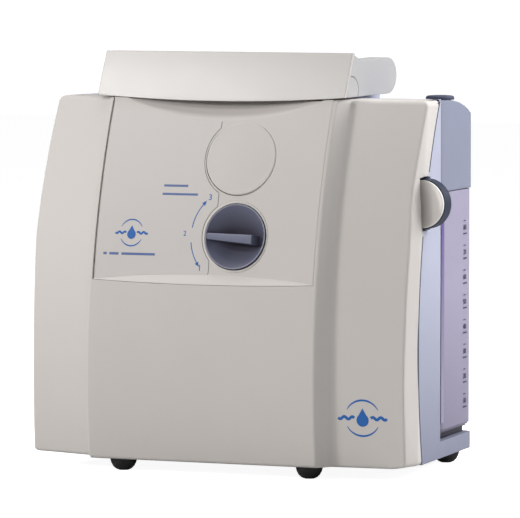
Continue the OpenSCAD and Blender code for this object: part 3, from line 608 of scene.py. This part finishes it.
def casing_row(z, side_inset, front_inset):
    """One row of the casing as [x, y, z] at every station."""
    left_x, left_y = left_corner(z, side_inset, front_inset)
    right_x = interp(z, RIGHT_CORNER) - side_inset
    right_y = front_y(right_x, z) + front_inset
    left_start, right_end = -left_x + CORNER_R, right_x - CORNER_R
    left_back, right_back = left_y + CORNER_R, right_y + CORNER_R
    seam = max(seam_y(z), max(left_y, right_y) + CORNER_R + 0.8)
    # beside the thumb pad the right side stops short of the seam
    right_seam = min(seam, 39.0) if 171.0 < z < 207.3 else seam

    def on_front(x):
        return x, front_y(x, z) + front_inset

    def on_left(y):
        return -(side_x(y) - side_inset), y

    def on_right(y):
        return side_right(y, z, right_y) - side_inset, y

    def curve(start, corner, end, t):
        return [(1 - t) ** 2 * a + 2 * t * (1 - t) * c + t * t * b
                for a, c, b in zip(start, corner, end)]

    row = []
    for zone, t in COLUMNS:
        if zone == "left side":
            x, y = on_left(seam + (left_back - seam) * t)
        elif zone == "left corner":
            x, y = curve(on_left(left_back), (-left_x, left_y), on_front(left_start), t)
        elif zone == "left front":
            x, y = on_front(left_start + (LEFT_FLAT_END - left_start) * t)
        elif zone == "x":
            x, y = on_front(float(t))
        elif zone == "right front":
            x, y = on_front(RIGHT_FLAT_START + (right_end - RIGHT_FLAT_START) * t)
        else:
            if zone == "right corner":
                x, y = curve(on_front(right_end), (right_x, right_y), on_right(right_back), t)
            else:
                x, y = on_right(right_back + (right_seam - right_y - CORNER_R) * t)
            x -= dish(y, z)
        row.append([x, y, z])
    return row


def edge_inset(z, low_r, top_r):
    """How far the rounding of the bottom and top edges sets the wall in."""
    inset = 0.0
    if z < BOTTOM + low_r:
        q = (BOTTOM + low_r - z) / low_r
        inset = low_r * (1 - math.sqrt(max(0, 1 - q * q)))
    if z > TOP - top_r:
        q = (z - TOP + top_r) / top_r
        inset = top_r * (1 - math.sqrt(max(0, 1 - q * q)))
    return inset


def front_shell():
    edge = 4.6                                  # height of the rounded edge rows
    front_low_r, front_top_r = 1.6, 2.6         # edge roundings of the front
    side_low_r, side_top_r = 3.2, edge
    below = [BOTTOM + edge * (1 - math.cos(t * math.pi / 2)) for t in np.linspace(0, 1, 7)]
    below += list(np.linspace(BOTTOM + 5.4, 133.0, 60))
    beside = [*np.linspace(133.6, 165.0, 16), *np.linspace(166, 212, 47),
              *np.linspace(213, TOP - 5.2, 20)]
    rounding = [TOP - edge * (1 - math.sin(t * math.pi / 2)) for t in np.linspace(0, 1, 9)]
    heights = below + beside + rounding
    split = len(below) - 1                      # last row under the opening

    def lip(row, z, t):
        """The edge row moved a share t of the way back to the seam."""
        seam = seam_y(z)
        return [[x * (1 - 0.0009 * t), y + (max(seam, y) - y) * t, height]
                for x, y, height in row]

    def skin(back):
        rows = []
        for i, height in enumerate(heights):
            z = min(max(height, BOTTOM + back), TOP - back)
            side = edge_inset(z, side_low_r - min(back, 1.2), side_top_r) + back
            row = casing_row(z, side, edge_inset(z, front_low_r, front_top_r) + back)
            for p in row:
                x = p[0]
                if i <= split and PANEL_X0 - 0.01 <= x <= PANEL_X1 + 0.01:
                    # squeeze the rows so that the last one follows the panel's lower edge
                    p[2] = BOTTOM + ((p[2] - BOTTOM) * (lens_low(x) - BOTTOM)
                                     / (heights[split] - BOTTOM))
                    p[1] = front_y(x, p[2]) + edge_inset(p[2], front_low_r, front_top_r) + back
                p[2] += bottom_drop(x) * (1 - smoothstep((z - BOTTOM) / 30))
            rows.append(row)
        low_lips = [lip(rows[0], BOTTOM, t) for t in (1.0, 0.5)]
        return low_lips + rows + [lip(rows[-1], TOP, t) for t in (0.5, 1.0)]

    outer, inner = skin(0.0), skin(SKIN)
    opening_row = 2 + split
    xs = [p[0] for p in outer[opening_row]]

    def keep(r, c):
        in_opening = (xs[c] > PANEL_X0 - 0.2 and xs[c + 1] < PANEL_X1 + 0.2
                      and COLUMNS[c][0] == "x" and COLUMNS[c + 1][0] == "x")
        return not in_opening or r < opening_row

    add_sheet("front_shell_skin", outer, inner, "shell", "casing", "shell", keep,
              replaces=("front_shell",))


front_shell()


# ---------------------------------------------------------------- control panel
def control_panel():
    gap = 0.35                                  # joint between panel and shell
    x0, x1 = PANEL_X0 + gap, PANEL_X1 - gap
    xs = [x0, x0 + 0.25, x0 + 0.6, *np.linspace(x0 + 1.2, x1 - 1.2, 110),
          x1 - 0.6, x1 - 0.25, x1]
    top = TOP - 1.0
    outer = []
    for x in xs:
        foot, lens_top, crease = lens_low(x) + 0.25, lens_high(x), crease_z(x)
        drop = 0.35 * (1 - min(1.0, min(x - x0, x1 - x) / 0.6)) ** 2    # eased side edges
        foot_y, lens_top_y = barrel(foot, 0.15), panel_flat_y(x, lens_top)
        column = []
        for t in np.linspace(0, 1, 9):
            y = foot_y + (lens_top_y - foot_y) * (t ** 1.25) + drop
            column.append((x, y, foot + (lens_top - foot) * t))
        for t in np.linspace(0, 1, 70)[1:]:
            z = lens_top + (crease - lens_top) * t
            column.append((x, panel_flat_y(x, z) + drop, z))
        for t in np.linspace(0, 1, 12)[1:]:
            z = crease + (top - crease) * t
            column.append((x, panel_top_y(x, z) + drop, z))
        outer.append(column)
    inner = [[(x, y + SKIN, z) for x, y, z in column] for column in outer]
    panel = add_sheet("control_panel_skin", outer, inner, "panel", "casing", "panel",
                      replaces=("control_panel",))
    # painted light: the curved band at the foot, which faces upwards, takes a lighter copy of the
    # panel's plastic
    panel.data.materials.append(MATERIALS["lens"])
    for face in panel.data.polygons:
        x, z = face.center.x * 1000 - ORIGIN_X, face.center.z * 1000
        if lens_low(x) < z < lens_high(x):
            face.material_index = 1
    return panel


def top_web(name, slot, front_edge, back_y, z, thickness, side_gap):
    """A flat wall under the handle; front_edge(x) is where it starts."""
    outer, inner = [], []
    for x in np.linspace(PANEL_X0 + side_gap, PANEL_X1 - side_gap, 80):
        ys = np.linspace(front_edge(x), back_y, 8)
        outer.append([(x, y, z) for y in ys])
        inner.append([(x, y, z - thickness) for y in ys])
    add_sheet(name, outer, inner, slot, "casing", slot)


panel = control_panel()
# The panel's own top wall, then the front shell's lip up to the joint.
top_web("panel_top_skin", "panel", lambda x: panel_top_y(x, TOP - 1.0) + 0.4, 57.7,
        z=TOP - 1.1, thickness=2.2, side_gap=0.4)
top_web("shell_top_skin", "shell", lambda x: 57.9, seam_y(TOP) - 0.02,
        z=TOP - 0.02, thickness=2.3, side_gap=0.02)
bore(panel, KNOB_X, KNOB_Z, KNOB_R + 0.55)
bore(panel, BLANK_X, BLANK_Z, BLANK_R + 0.35)


# ---------------------------------------------------------------- knob and blank
def lip_lift(x, y, height):
    """Makes the front of the knob's lip follow the panel's hollow."""
    return -panel_sink(KNOB_X + x, KNOB_Z + y) if height > -10 else 0.0


# Turned profiles are (radius, height over the panel's frame).
add_ring("knob_lip", KNOB_X, KNOB_Z, [
    (23.35, WELL_BACK), (23.35, 0.0), (23.45, 0.22), (23.7, 0.32), (24.1, 0.3), (24.6, 0.12),
    (24.9, -0.25), (24.9, -2.0), (24.0, -2.0), (24.0, WELL_BACK)], "shell", "panel", lift=lip_lift)
# painted shade: dark sheets line the bore round the knob
add_ring("knob_well", KNOB_X, KNOB_Z, [
    (8.1, -16), (23.9, -16), (23.9, -14.02), (8.1, -14.02)], "line", "panel")
add_ring("knob_well_wall", KNOB_X, KNOB_Z, [
    (23.1, WELL_BACK), (23.34, WELL_BACK), (23.34, -1.7), (23.1, -1.7)], "line", "panel")


def knob_column(x):
    """Points (x, y, height) up the knob's face: hollow, wing bar, hollow."""
    rim_y = math.sqrt(max(0.0, KNOB_FACE_R ** 2 - x * x))
    bar_top = min(2.5 - 0.022 * (x + 22), rim_y - 0.01)
    bar_low = max(max(-2.3 - 0.084 * (x + 22), -5.4), -rim_y + 0.01)
    if bar_top <= bar_low:
        bar_top = bar_low = 0.0
    fullness = max(0.0, 1 - (x / 22.2) ** 2) ** 0.55
    floor_h = -8.8 * fullness * (0.55 + 0.45 * smoothstep((x + 22) / 20))
    end = smoothstep((x - 12.6) / 3.4)          # the bar sinks away near the right rim
    bar_h = KNOB_RIM + 0.1 + 0.5 * smoothstep((x + 20) / 30)
    bar_h = bar_h * (1 - end) + (floor_h * 0.96) * end
    shoulder = bar_h - 0.45

    def hollow(t):
        return KNOB_RIM + (floor_h - KNOB_RIM) * (1 - t) ** 1.35 * (1 + 0.35 * t)

    def wall(q):
        return floor_h + (shoulder - floor_h) * q

    # bar flank from its foot to its top: (distance in from the flank, height)
    flank = [(0.12 * q, wall(q)) for q in (0.35, 0.8)]
    flank += [(0.2, shoulder), (0.33, bar_h - 0.13), (0.65, bar_h)]
    column = [(x, bar_low + (-rim_y - bar_low) * t, hollow(t)) for t in np.linspace(1, 0, 26)]
    column += [(x, bar_low + d, h) for d, h in flank]
    column.append((x, (bar_low + bar_top) / 2, bar_h + 0.12 * (1 - end)))
    column += [(x, bar_top - d, h) for d, h in reversed(flank)]
    column += [(x, bar_top + (rim_y - bar_top) * t, hollow(t)) for t in np.linspace(0, 1, 26)]
    if rim_y < 3.2:                             # close to the rim the bar runs out into it
        share = rim_y / 3.2
        column = [(x, max(-rim_y, min(rim_y, y)), KNOB_RIM + (h - KNOB_RIM) * share)
                  for x, y, h in column]
    return column


def knob_skin():
    """A round knob with two dished finger hollows and a wing bar between them."""
    xs = {round(float(v), 3) for v in np.linspace(-KNOB_FACE_R, KNOB_FACE_R, 97)}
    xs |= {11.4, 12.2, 12.9, 13.5, 14.0, 14.5, 15.0, 15.5, 16.0}
    outer = [knob_column(x) for x in sorted(xs)]
    inner = [[(x, y, KNOB_BACK) for x, y, h in column] for column in outer]
    verts, faces = solid_sheet(outer, inner)
    matrix = local_frame(KNOB_X, KNOB_Z, PANEL_SETBACK)
    knob = add_piece("vacuum_knob_skin", to_frame(matrix, verts), faces, "knob", "knob", "knob",
                     ("vacuum_knob",))
    # painted highlight: the top of the bar takes a lighter copy of the knob's plastic
    knob.data.materials.append(MATERIALS["knob_bar_highlight"])
    to_local = matrix.inverted()
    out = Vector((matrix[0][2], matrix[1][2], matrix[2][2]))
    for face in knob.data.polygons:
        x, y, h = [v * 1000 for v in to_local @ face.center]
        if face.normal.dot(out) > 0.9 and h > KNOB_RIM - 0.2 and -7 < y < 3 and abs(x) < 21.2:
            face.material_index = 1


knob_skin()
# painted highlight: the knob's thin rim is a lighter copy of its plastic
add_ring("vacuum_knob_rim", KNOB_X, KNOB_Z, [
    (21.93, KNOB_BACK), (21.93, KNOB_RIM - 0.1), (22.0, KNOB_RIM + 0.12),
    (22.25, KNOB_RIM + 0.22), (22.5, KNOB_RIM + 0.18), (22.66, KNOB_RIM + 0.02),
    (22.7, KNOB_RIM - 0.25), (22.7, KNOB_BACK)], "knob_rim_highlight", "knob", body="knob")
add_ring("vacuum_knob_wall", KNOB_X, KNOB_Z, [
    (22.66, KNOB_BACK), (22.66, KNOB_RIM - 0.3), (KNOB_R, KNOB_RIM - 0.5), (KNOB_R, KNOB_BACK)],
    "knob", "knob", body="knob")
add_ring("blank_seat", BLANK_X, BLANK_Z, [
    (21, -5.6), (27.6, -5.6), (27.6, -1.9), (26.5, -1.9), (26.5, -3.4), (21, -3.4)],
    "shell", "panel")
add_ring("gauge_blank_disc", BLANK_X, BLANK_Z, [
    (0, -3.2), (BLANK_R, -3.2), (BLANK_R, -0.55), (BLANK_R - 0.12, -0.2), (BLANK_R - 0.4, 0.02),
    (BLANK_R - 0.8, 0.1), (BLANK_R - 1.6, 0.14), (BLANK_R - 2.2, 0.1), (20, 0.42), (10, 0.62),
    (0, 0.7)], "panel", "panel", replaces=("gauge_blank",), close=False)


# ---------------------------------------------------------------- printing tools
PRINT_LIFT = 0.06


def swell(ends):
    """Band width running from a share at the ends to full in the middle."""
    return lambda t: ends + (1 - ends) * math.sin(math.pi * t)


def add_strip(name, path, width, mat="print", lift=PRINT_LIFT, shift=0.0, surface=film,
              slot="foil", taper=lambda t: 1.0, thickness=0.12):
    """A thin band along a path of (x, z), laid on a surface y(x, z) of the casing."""
    path = [np.array(p, float) for p in path]
    last = len(path) - 1
    outer, inner = [], []
    for i, middle in enumerate(path):
        along = path[min(last, i + 1)] - path[max(0, i - 1)]
        along = along / (np.linalg.norm(along) + 1e-9)
        across = np.array([along[1], -along[0]])
        half = across * (width * taper(i / last)) / 2
        centre = middle + across * shift
        trio = [(x, surface(x, z) - lift, z)
                for x, z in (centre - half, centre, centre + half)]
        outer.append(trio)
        inner.append([(x, y + thickness, z) for x, y, z in trio])
    add_sheet(name, outer, inner, mat, "casing", slot, smooth=False)


def add_patch(name, outline, surface=film, slot="foil"):
    """A printed patch: an outline of (x, z) filled as a fan about its middle."""
    centre = np.mean(np.array(outline), axis=0)
    count = len(outline)
    verts = [point(x, surface(x, z) - PRINT_LIFT + depth, z)
             for depth in (0.0, 0.1) for x, z in [tuple(centre), *outline]]
    back = count + 1
    faces = []
    for i in range(1, count + 1):
        j = i % count + 1
        faces.append((0, i, j))
        faces.append((back, back + j, back + i))
        faces.append((i, back + i, back + j, j))
    add_piece(name, verts, faces, "print", "casing", slot, smooth=False)


def arc(cx, cz, radius, start, end, steps=40, squash=1.0):
    """Points (x, z) of an arc between two angles in degrees."""
    angles = [math.radians(start + (end - start) * i / steps) for i in range(steps + 1)]
    return [(cx + radius * math.cos(a), cz + squash * radius * math.sin(a)) for a in angles]


def add_bar(name, x0, x1, z, height):
    add_strip(name, [(x, z) for x in np.linspace(x0, x1, 24)], height, "print_grey")


def add_text(name, text, cx, cz, size, mat, body, place):
    """Numerals; place(x, z, lift) maps the flat text to a point in casing millimetres."""
    curve = bpy.data.curves.new(name, "FONT")
    curve.body = text
    curve.size = size
    curve.align_x = "CENTER"
    curve.align_y = "CENTER"
    curve.resolution_u = 3
    flat = link_object(name + "_t", curve)
    bpy.context.view_layer.update()
    mesh = bpy.data.meshes.new_from_object(flat)
    bpy.data.objects.remove(flat)
    bm = bmesh.new()
    bm.from_mesh(mesh)
    bmesh.ops.remove_doubles(bm, verts=bm.verts, dist=1e-4)
    extruded = bmesh.ops.extrude_face_region(bm, geom=bm.faces[:])
    front = {v for v in extruded["geom"] if isinstance(v, bmesh.types.BMVert)}
    for v in bm.verts:
        lift = PRINT_LIFT if v in front else PRINT_LIFT - 0.1
        v.co = Vector(point(*place(cx + v.co.x, cz + v.co.y, lift)))
    bmesh.ops.recalc_face_normals(bm, faces=bm.faces)
    bm.to_mesh(mesh)
    bm.free()
    add_mesh(name, mesh, mat, body)


# ---------------------------------------------------------------- overlay
def overlay_left(z):
    """Left edge, with a rounded lower corner."""
    if z < 136.2:
        return -88.9 + 2.0 - math.sqrt(max(0, 4 - (136.2 - z) ** 2))
    return -88.9


def overlay_right(z):
    """Right edge, following the blank and the knob, with a rounded lower corner."""
    edge = interp(z, [(136, -3.2), (150, -3.2), (186, 0.4), (202, 0.4), (228, -4.6),
                      (260, -4.6)])
    for cx, cz, radius in ((BLANK_X, BLANK_Z, BLANK_R + 1.5), (KNOB_X, KNOB_Z, KNOB_R + 3.0)):
        q = radius * radius - (z - cz) ** 2
        if q > 0:
            edge = min(edge, cx - math.sqrt(q))
    if z < 140.5:
        edge -= 3.0 - math.sqrt(max(0, 9 - (140.5 - z) ** 2))
    return edge


def overlay():
    low, high = 137.6, 246.0                    # nominal height of the film

    def across(z, share):
        return overlay_left(z) + (overlay_right(z) - overlay_left(z)) * share

    outer, inner = [], []
    for t in np.linspace(0, 1, 160):
        front, back = [], []
        for share in np.linspace(0, 1, 44):
            # the edge heights depend on x, so x is first found at the nominal height
            x = across(low + t * (high - low), share)
            top = min(crease_z(x) - 1.5, 251.0)
            foot = lens_high(x) + 0.2
            z = foot + t * (top - foot)
            x = across(z, share)
            y = panel_flat_y(x, z)
            front.append((x, y - 0.16, z))
            back.append((x, y + 0.25, z))
        outer.append(front)
        inner.append(back)
    add_sheet("panel_overlay_film", outer, inner, "foil", "casing", "foil",
              replaces=("panel_overlay",))
    # shadow line along the film's right edge
    add_strip("overlay_edge_line", [(row[-1][0], row[-1][2]) for row in outer], 0.42, "line",
              lift=0.05, shift=0.18, surface=panel_flat_y)


overlay()
KNOB_GAP = [(KNOB_X + 23.25 * math.cos(a), KNOB_Z + 23.25 * math.sin(a))
            for a in np.linspace(math.radians(12), math.radians(98), 50)]
add_strip("knob_gap_shadow", KNOB_GAP, 1.15, "line", lift=0.34, surface=panel_flat_y,
          slot="panel", taper=swell(0.15), thickness=0.4)


# ---------------------------------------------------------------- printing
def droplet(cx, cz, height):
    """A plain drop: round below, pointed above."""
    outline = []
    for i in range(40):
        a = math.radians(-230 + 280 * i / 39)
        outline.append((cx + 0.36 * height * math.cos(a),
                        cz - 0.12 * height + 0.36 * height * math.sin(a)))
    outline.append((cx, cz + 0.55 * height))
    return outline


def emblem(prefix, cx, cz, width, height, line, **where):
    """Two open arcs round a drop, with short waves at its sides."""
    radius = width * 0.36
    squash = height / (2 * radius)
    for part, start, end in (("_arc_top", 28, 152), ("_arc_low", 208, 332)):
        add_strip(prefix + part, arc(cx, cz, radius, start, end, squash=squash), line,
                  taper=swell(0.35), **where)
    add_patch(prefix + "_drop", droplet(cx, cz, height * 0.5), **where)
    for part, side in (("_wave_l", -1), ("_wave_r", 1)):
        wave = [(cx + side * (width * 0.17 + width * 0.33 * t),
                 cz + height * 0.035 * math.sin(t * 4 * math.pi)) for t in np.linspace(0, 1, 30)]
        add_strip(prefix + part, wave, line * 1.5, **where)


def arrow(prefix, tail, head):
    """A curved arrow round the knob, between two angles in degrees."""
    radius = 34.0
    add_strip(prefix + "_line", arc(KNOB_X, KNOB_Z, radius, tail, head, steps=30), 0.62)
    a = math.radians(head)
    turn = 1 if head > tail else -1
    end = np.array([KNOB_X + radius * math.cos(a), KNOB_Z + radius * math.sin(a)])
    along = np.array([-math.sin(a), math.cos(a)]) * turn
    across = np.array([math.cos(a), math.sin(a)])
    base = end - along * 0.5
    head_points = (end + along * 2.9, base + across * 1.5, base - across * 1.5)
    add_patch(prefix + "_head", [tuple(p) for p in head_points])


def on_film(x, z, lift):
    return x, film(x, z) - lift, z


emblem("panel_emblem", -63.6, 166.2, width=24.6, height=18.2, line=0.95)
for i, (x0, x1) in enumerate(((-84.0, -81.4), (-79.4, -72.4), (-70.2, -44.6))):
    add_bar("panel_name_bar_%d" % i, x0, x1, z=151.6, height=1.7)
emblem("side_emblem", 112.4, 43.4, width=35.0, height=24.6, line=1.35,
       surface=front_y, slot="shell")
arrow("arrow_up", tail=171, head=140)
arrow("arrow_down", tail=188, head=214)
# name, numeral, x, z, size
for name, text, x, z, size in (
        ("dial_max", "3", -5.6, 191.6, 6.0),
        ("dial_mid", "2", -22.7, 166.5, 5.0),
        ("dial_min", "1", -9.8, 143.0, 6.0)):
    add_text(name, text, x, z, size, "print", "casing", on_film)
for i, (x0, x1, z) in enumerate(((-42, -23.5, 199.2), (-42.5, -15.5, 193.4))):
    add_bar("note_bar_%d" % i, x0, x1, z, height=1.5)


# ---------------------------------------------------------------- release lever's pad
def lever_pad():
    """A dished thumb pad with a raised rim, cut off straight on its left."""
    cut_x, rim = 140.0, 0.955                   # rim is a share of the radius
    xs = [cut_x + (PAD_X + PAD_R - 0.02 - cut_x) * math.sin(t * math.pi / 2)
          for t in np.linspace(0, 1, 44)]
    outer, inner = [], []
    for x in xs:
        half = math.sqrt(max(0.0, PAD_R * PAD_R - (x - PAD_X) ** 2))
        front, back = [], []
        for t in np.linspace(-1, 1, 46):
            h = half * math.sin(t * math.pi / 2)
            r = math.hypot(x - PAD_X, h) / PAD_R
            depth = 1.95 * (1 - min(1.0, r / rim) ** 2)
            depth += 0.32 * max(0.0, (r - rim) / 0.045) ** 2
            front.append((x, PAD_Y + depth, PAD_Z + h))
            back.append((x, PAD_Y + 2.15, PAD_Z + h))
        outer.append(front)
        inner.append(back)
    add_sheet("lever_pad_skin", outer, inner, "pad_light_and_shade", "lever", "shell",
              replaces=("lever_cap",))


lever_pad()


# ---------------------------------------------------------------- joint between the mouldings
def add_joint(name, outer, inwards):
    """A dark band 0.3 thick: painted shade in the joint between the mouldings."""
    inner = [[[p[i] + inwards[i] * 0.3 for i in range(3)] for p in row] for row in outer]
    add_sheet(name, outer, inner, "seam", "casing", "housing", smooth=False)


def side_joint(name, side, heights):
    rows = []
    for z in heights:
        ys = [seam_y(z) + step for step in (0.05, 0.7, 1.4, 2.2)]
        rows.append([(side * (side_x(y) + 0.12), y, z) for y in ys])
    add_joint(name, rows, (-side, 0, 0))


JOINT_ZS = np.linspace(BOTTOM + 1.2, TOP - 1.2, 120)
# The right joint is broken at the release lever.
side_joint("joint_right_low", 1, [z for z in JOINT_ZS if z <= 168.0])
side_joint("joint_right_high", 1, [z for z in JOINT_ZS if z >= 210.5])
side_joint("joint_left", -1, JOINT_ZS)
add_joint("joint_top", [[(x, seam_y(TOP) + step, TOP - 0.25) for step in (0.02, 0.75)]
                        for x in np.linspace(-139.5, 139.5, 60)], (0, 0, -1))

# ---------------------------------------------------------------- handle groove
# Centre line of the groove in the handle's side: (y, z).
GROOVE = [
    (54.5, 275.4), (59, 275.2), (63, 274.6), (66.5, 273.4), (69.4, 272), (71.6, 270.2),
    (73.2, 268.3), (73.9, 266.4), (73.8, 264.6), (72.9, 262.9), (71.4, 261.4)]


# painted shade: the groove is a dark band laid on the handle's side
def handle_groove(name, side):
    path = [np.array(p) for p in GROOVE]
    last = len(path) - 1
    outer, inner = [], []
    for i, middle in enumerate(path):
        along = path[min(last, i + 1)] - path[max(0, i - 1)]
        along = along / np.linalg.norm(along)
        across = np.array([-along[1], along[0]])
        front, back = [], []
        for k in (-1, 0, 1):
            y, z = middle + across * 0.45 * k
            arm = HANDLE_HALF - 0.139 * (y - 45)    # half width over the arms
            front.append((HANDLE_X + side * (arm + 0.04), y, z))
            back.append((HANDLE_X + side * (arm - 0.3), y, z))
        outer.append(front)
        inner.append(back)
    add_sheet(name, outer, inner, "line", "handle", "handle", smooth=False)


handle_groove("handle_groove_r", 1)
handle_groove("handle_groove_l", -1)


# ---------------------------------------------------------------- canister graduations
def can_side(y, z, lift):
    """A point on the canister's outer side wall."""
    return side_x(y) - 0.8 + lift, y, z


def can_patch(name, ys, zs, mat, front, back):
    """A patch on the side wall; front and back are the lifts of its two faces."""
    outer, inner = [[[can_side(y, z, lift) for y in ys] for z in zs] for lift in (front, back)]
    add_sheet(name, outer, inner, mat, "canister_assembly", "canister", smooth=False)


def tick(name, y0, y1, z, height):
    can_patch(name, (y0, y1), (z - height / 2, z + height / 2), "scale", 0.12, 0.02)


CAN_TOP = NODES["canister_lid"].bound_box[0][2] * 1000 - 0.4
# painted shade: a dark strip along the front of the canister's side wall
can_patch("canister_front_edge", (89.6, (89.6 + 97.0) / 2, 97.0), np.linspace(34.0, CAN_TOP, 12),
          "can_edge_shade", 0.06, 0.01)
for i in range(8):
    z = 44.6 + 17.5 * i
    tick("graduation_%d" % i, 148.5, 157.5, z - 4.2, 0.9)
    tick("graduation_half_%d" % i, 149.5, 154.5, z + 5.0, 0.7)
    add_text("graduation_mark_%d" % i, str((i + 1) * 100), 152.5, z, 5.2, "scale",
             "canister_assembly", can_side)


# ---------------------------------------------------------------- floor and world
def add_floor():
    """A plane that gives off extra light to the camera only."""
    half = 6.0                                  # metres
    mesh = bpy.data.meshes.new("floor")
    mesh.from_pydata([(-half, -half, 0), (half, -half, 0), (half, half, 0), (-half, half, 0)],
                     [], [(0, 1, 2, 3)])
    floor = link_object("floor", mesh)
    paper = material("floor_paper", (0.5, 0.5, 0.5), rough=0.95, vary=0.004, grain=0.0, spec=0.0)
    nodes, link = paper.node_tree.nodes, paper.node_tree.links.new
    path = nodes.new("ShaderNodeLightPath")
    glow = nodes.new("ShaderNodeEmission")
    glow.inputs["Color"].default_value = (1, 1, 1, 1)
    strength = nodes.new("ShaderNodeMath")
    strength.operation = "MULTIPLY"
    strength.inputs[1].default_value = 0.93
    link(path.outputs["Is Camera Ray"], strength.inputs[0])
    link(strength.outputs[0], glow.inputs["Strength"])
    both = nodes.new("ShaderNodeAddShader")
    link(nodes["Principled BSDF"].outputs[0], both.inputs[0])
    link(glow.outputs[0], both.inputs[1])
    link(both.outputs[0], nodes["Material Output"].inputs["Surface"])
    mesh.materials.append(paper)


def add_world():
    """A dim surround that the camera sees as white."""
    world = bpy.data.worlds.new("studio")
    bpy.context.scene.world = world
    world.use_nodes = True
    nodes, link = world.node_tree.nodes, world.node_tree.links.new
    nodes.clear()
    output = nodes.new("ShaderNodeOutputWorld")
    path = nodes.new("ShaderNodeLightPath")

    def background(colour, strength):
        node = nodes.new("ShaderNodeBackground")
        node.inputs["Color"].default_value = colour
        node.inputs["Strength"].default_value = strength
        return node

    ambient = background((0.93, 0.95, 1.0, 1), strength=0.11)
    backdrop = background((1, 1, 1, 1), strength=1.05)
    mix = nodes.new("ShaderNodeMixShader")
    link(path.outputs["Is Camera Ray"], mix.inputs[0])
    link(ambient.outputs[0], mix.inputs[1])
    link(backdrop.outputs[0], mix.inputs[2])
    link(mix.outputs[0], output.inputs[0])


# ---------------------------------------------------------------- lights and camera
WARM = (1.0, 0.99, 0.98)
# name, location (m), target (m), width and height (m), watts, colour
LIGHTS = [
    ("key", (-1.55, -1.12, 0.68), (-0.02, -0.05, 0.15), 0.24, 0.28, 21.5, WARM),
    ("fill", (1.6, -1.4, 0.42), (0.0, 0.0, 0.14), 0.9, 0.9, 8.0, WARM),
    ("bar_glare", (-0.74, -0.95, 1.22), (-0.05, -0.04, 0.27), 0.3, 0.2, 5.6, WARM),
    ("rim_right", (0.98, 0.55, 0.85), (0.12, 0.0, 0.16), 0.8, 0.8, 20.5, (0.985, 0.99, 1.0)),
    ("top", (0.1, 0.32, 1.8), (0, 0.03, 0.1), 1.0, 1.0, 17, (1, 1, 1)),
]


def aim(obj, direction):
    obj.rotation_mode = "QUATERNION"
    obj.rotation_quaternion = direction.to_track_quat("-Z", "Y")


def add_light(name, location, target, width, height, watts, colour):
    light = bpy.data.lights.new(name, "AREA")
    light.shape = "RECTANGLE"
    light.size, light.size_y = width, height
    light.energy = watts
    light.color = colour
    obj = link_object(name, light)
    obj.location = location
    aim(obj, Vector(target) - Vector(location))


def add_camera():
    azimuth, elevation = math.radians(24.71), math.radians(3.61)
    towards_camera = Vector((math.sin(azimuth) * math.cos(elevation),
                             -math.cos(azimuth) * math.cos(elevation), math.sin(elevation)))
    data = bpy.data.cameras.new("camera")
    camera = link_object("camera", data)
    data.sensor_width = 36
    data.lens = 373.14
    data.clip_start, data.clip_end = 0.1, 50
    camera.location = Vector(point(1582.8, -3352.4, 384.0))
    aim(camera, -towards_camera)
    bpy.context.scene.camera = camera


add_floor()
add_world()
for light in LIGHTS:
    add_light(*light)
add_camera()
bpy.context.scene.view_settings.view_transform = "Standard"
bpy.context.scene.view_settings.look = "None"
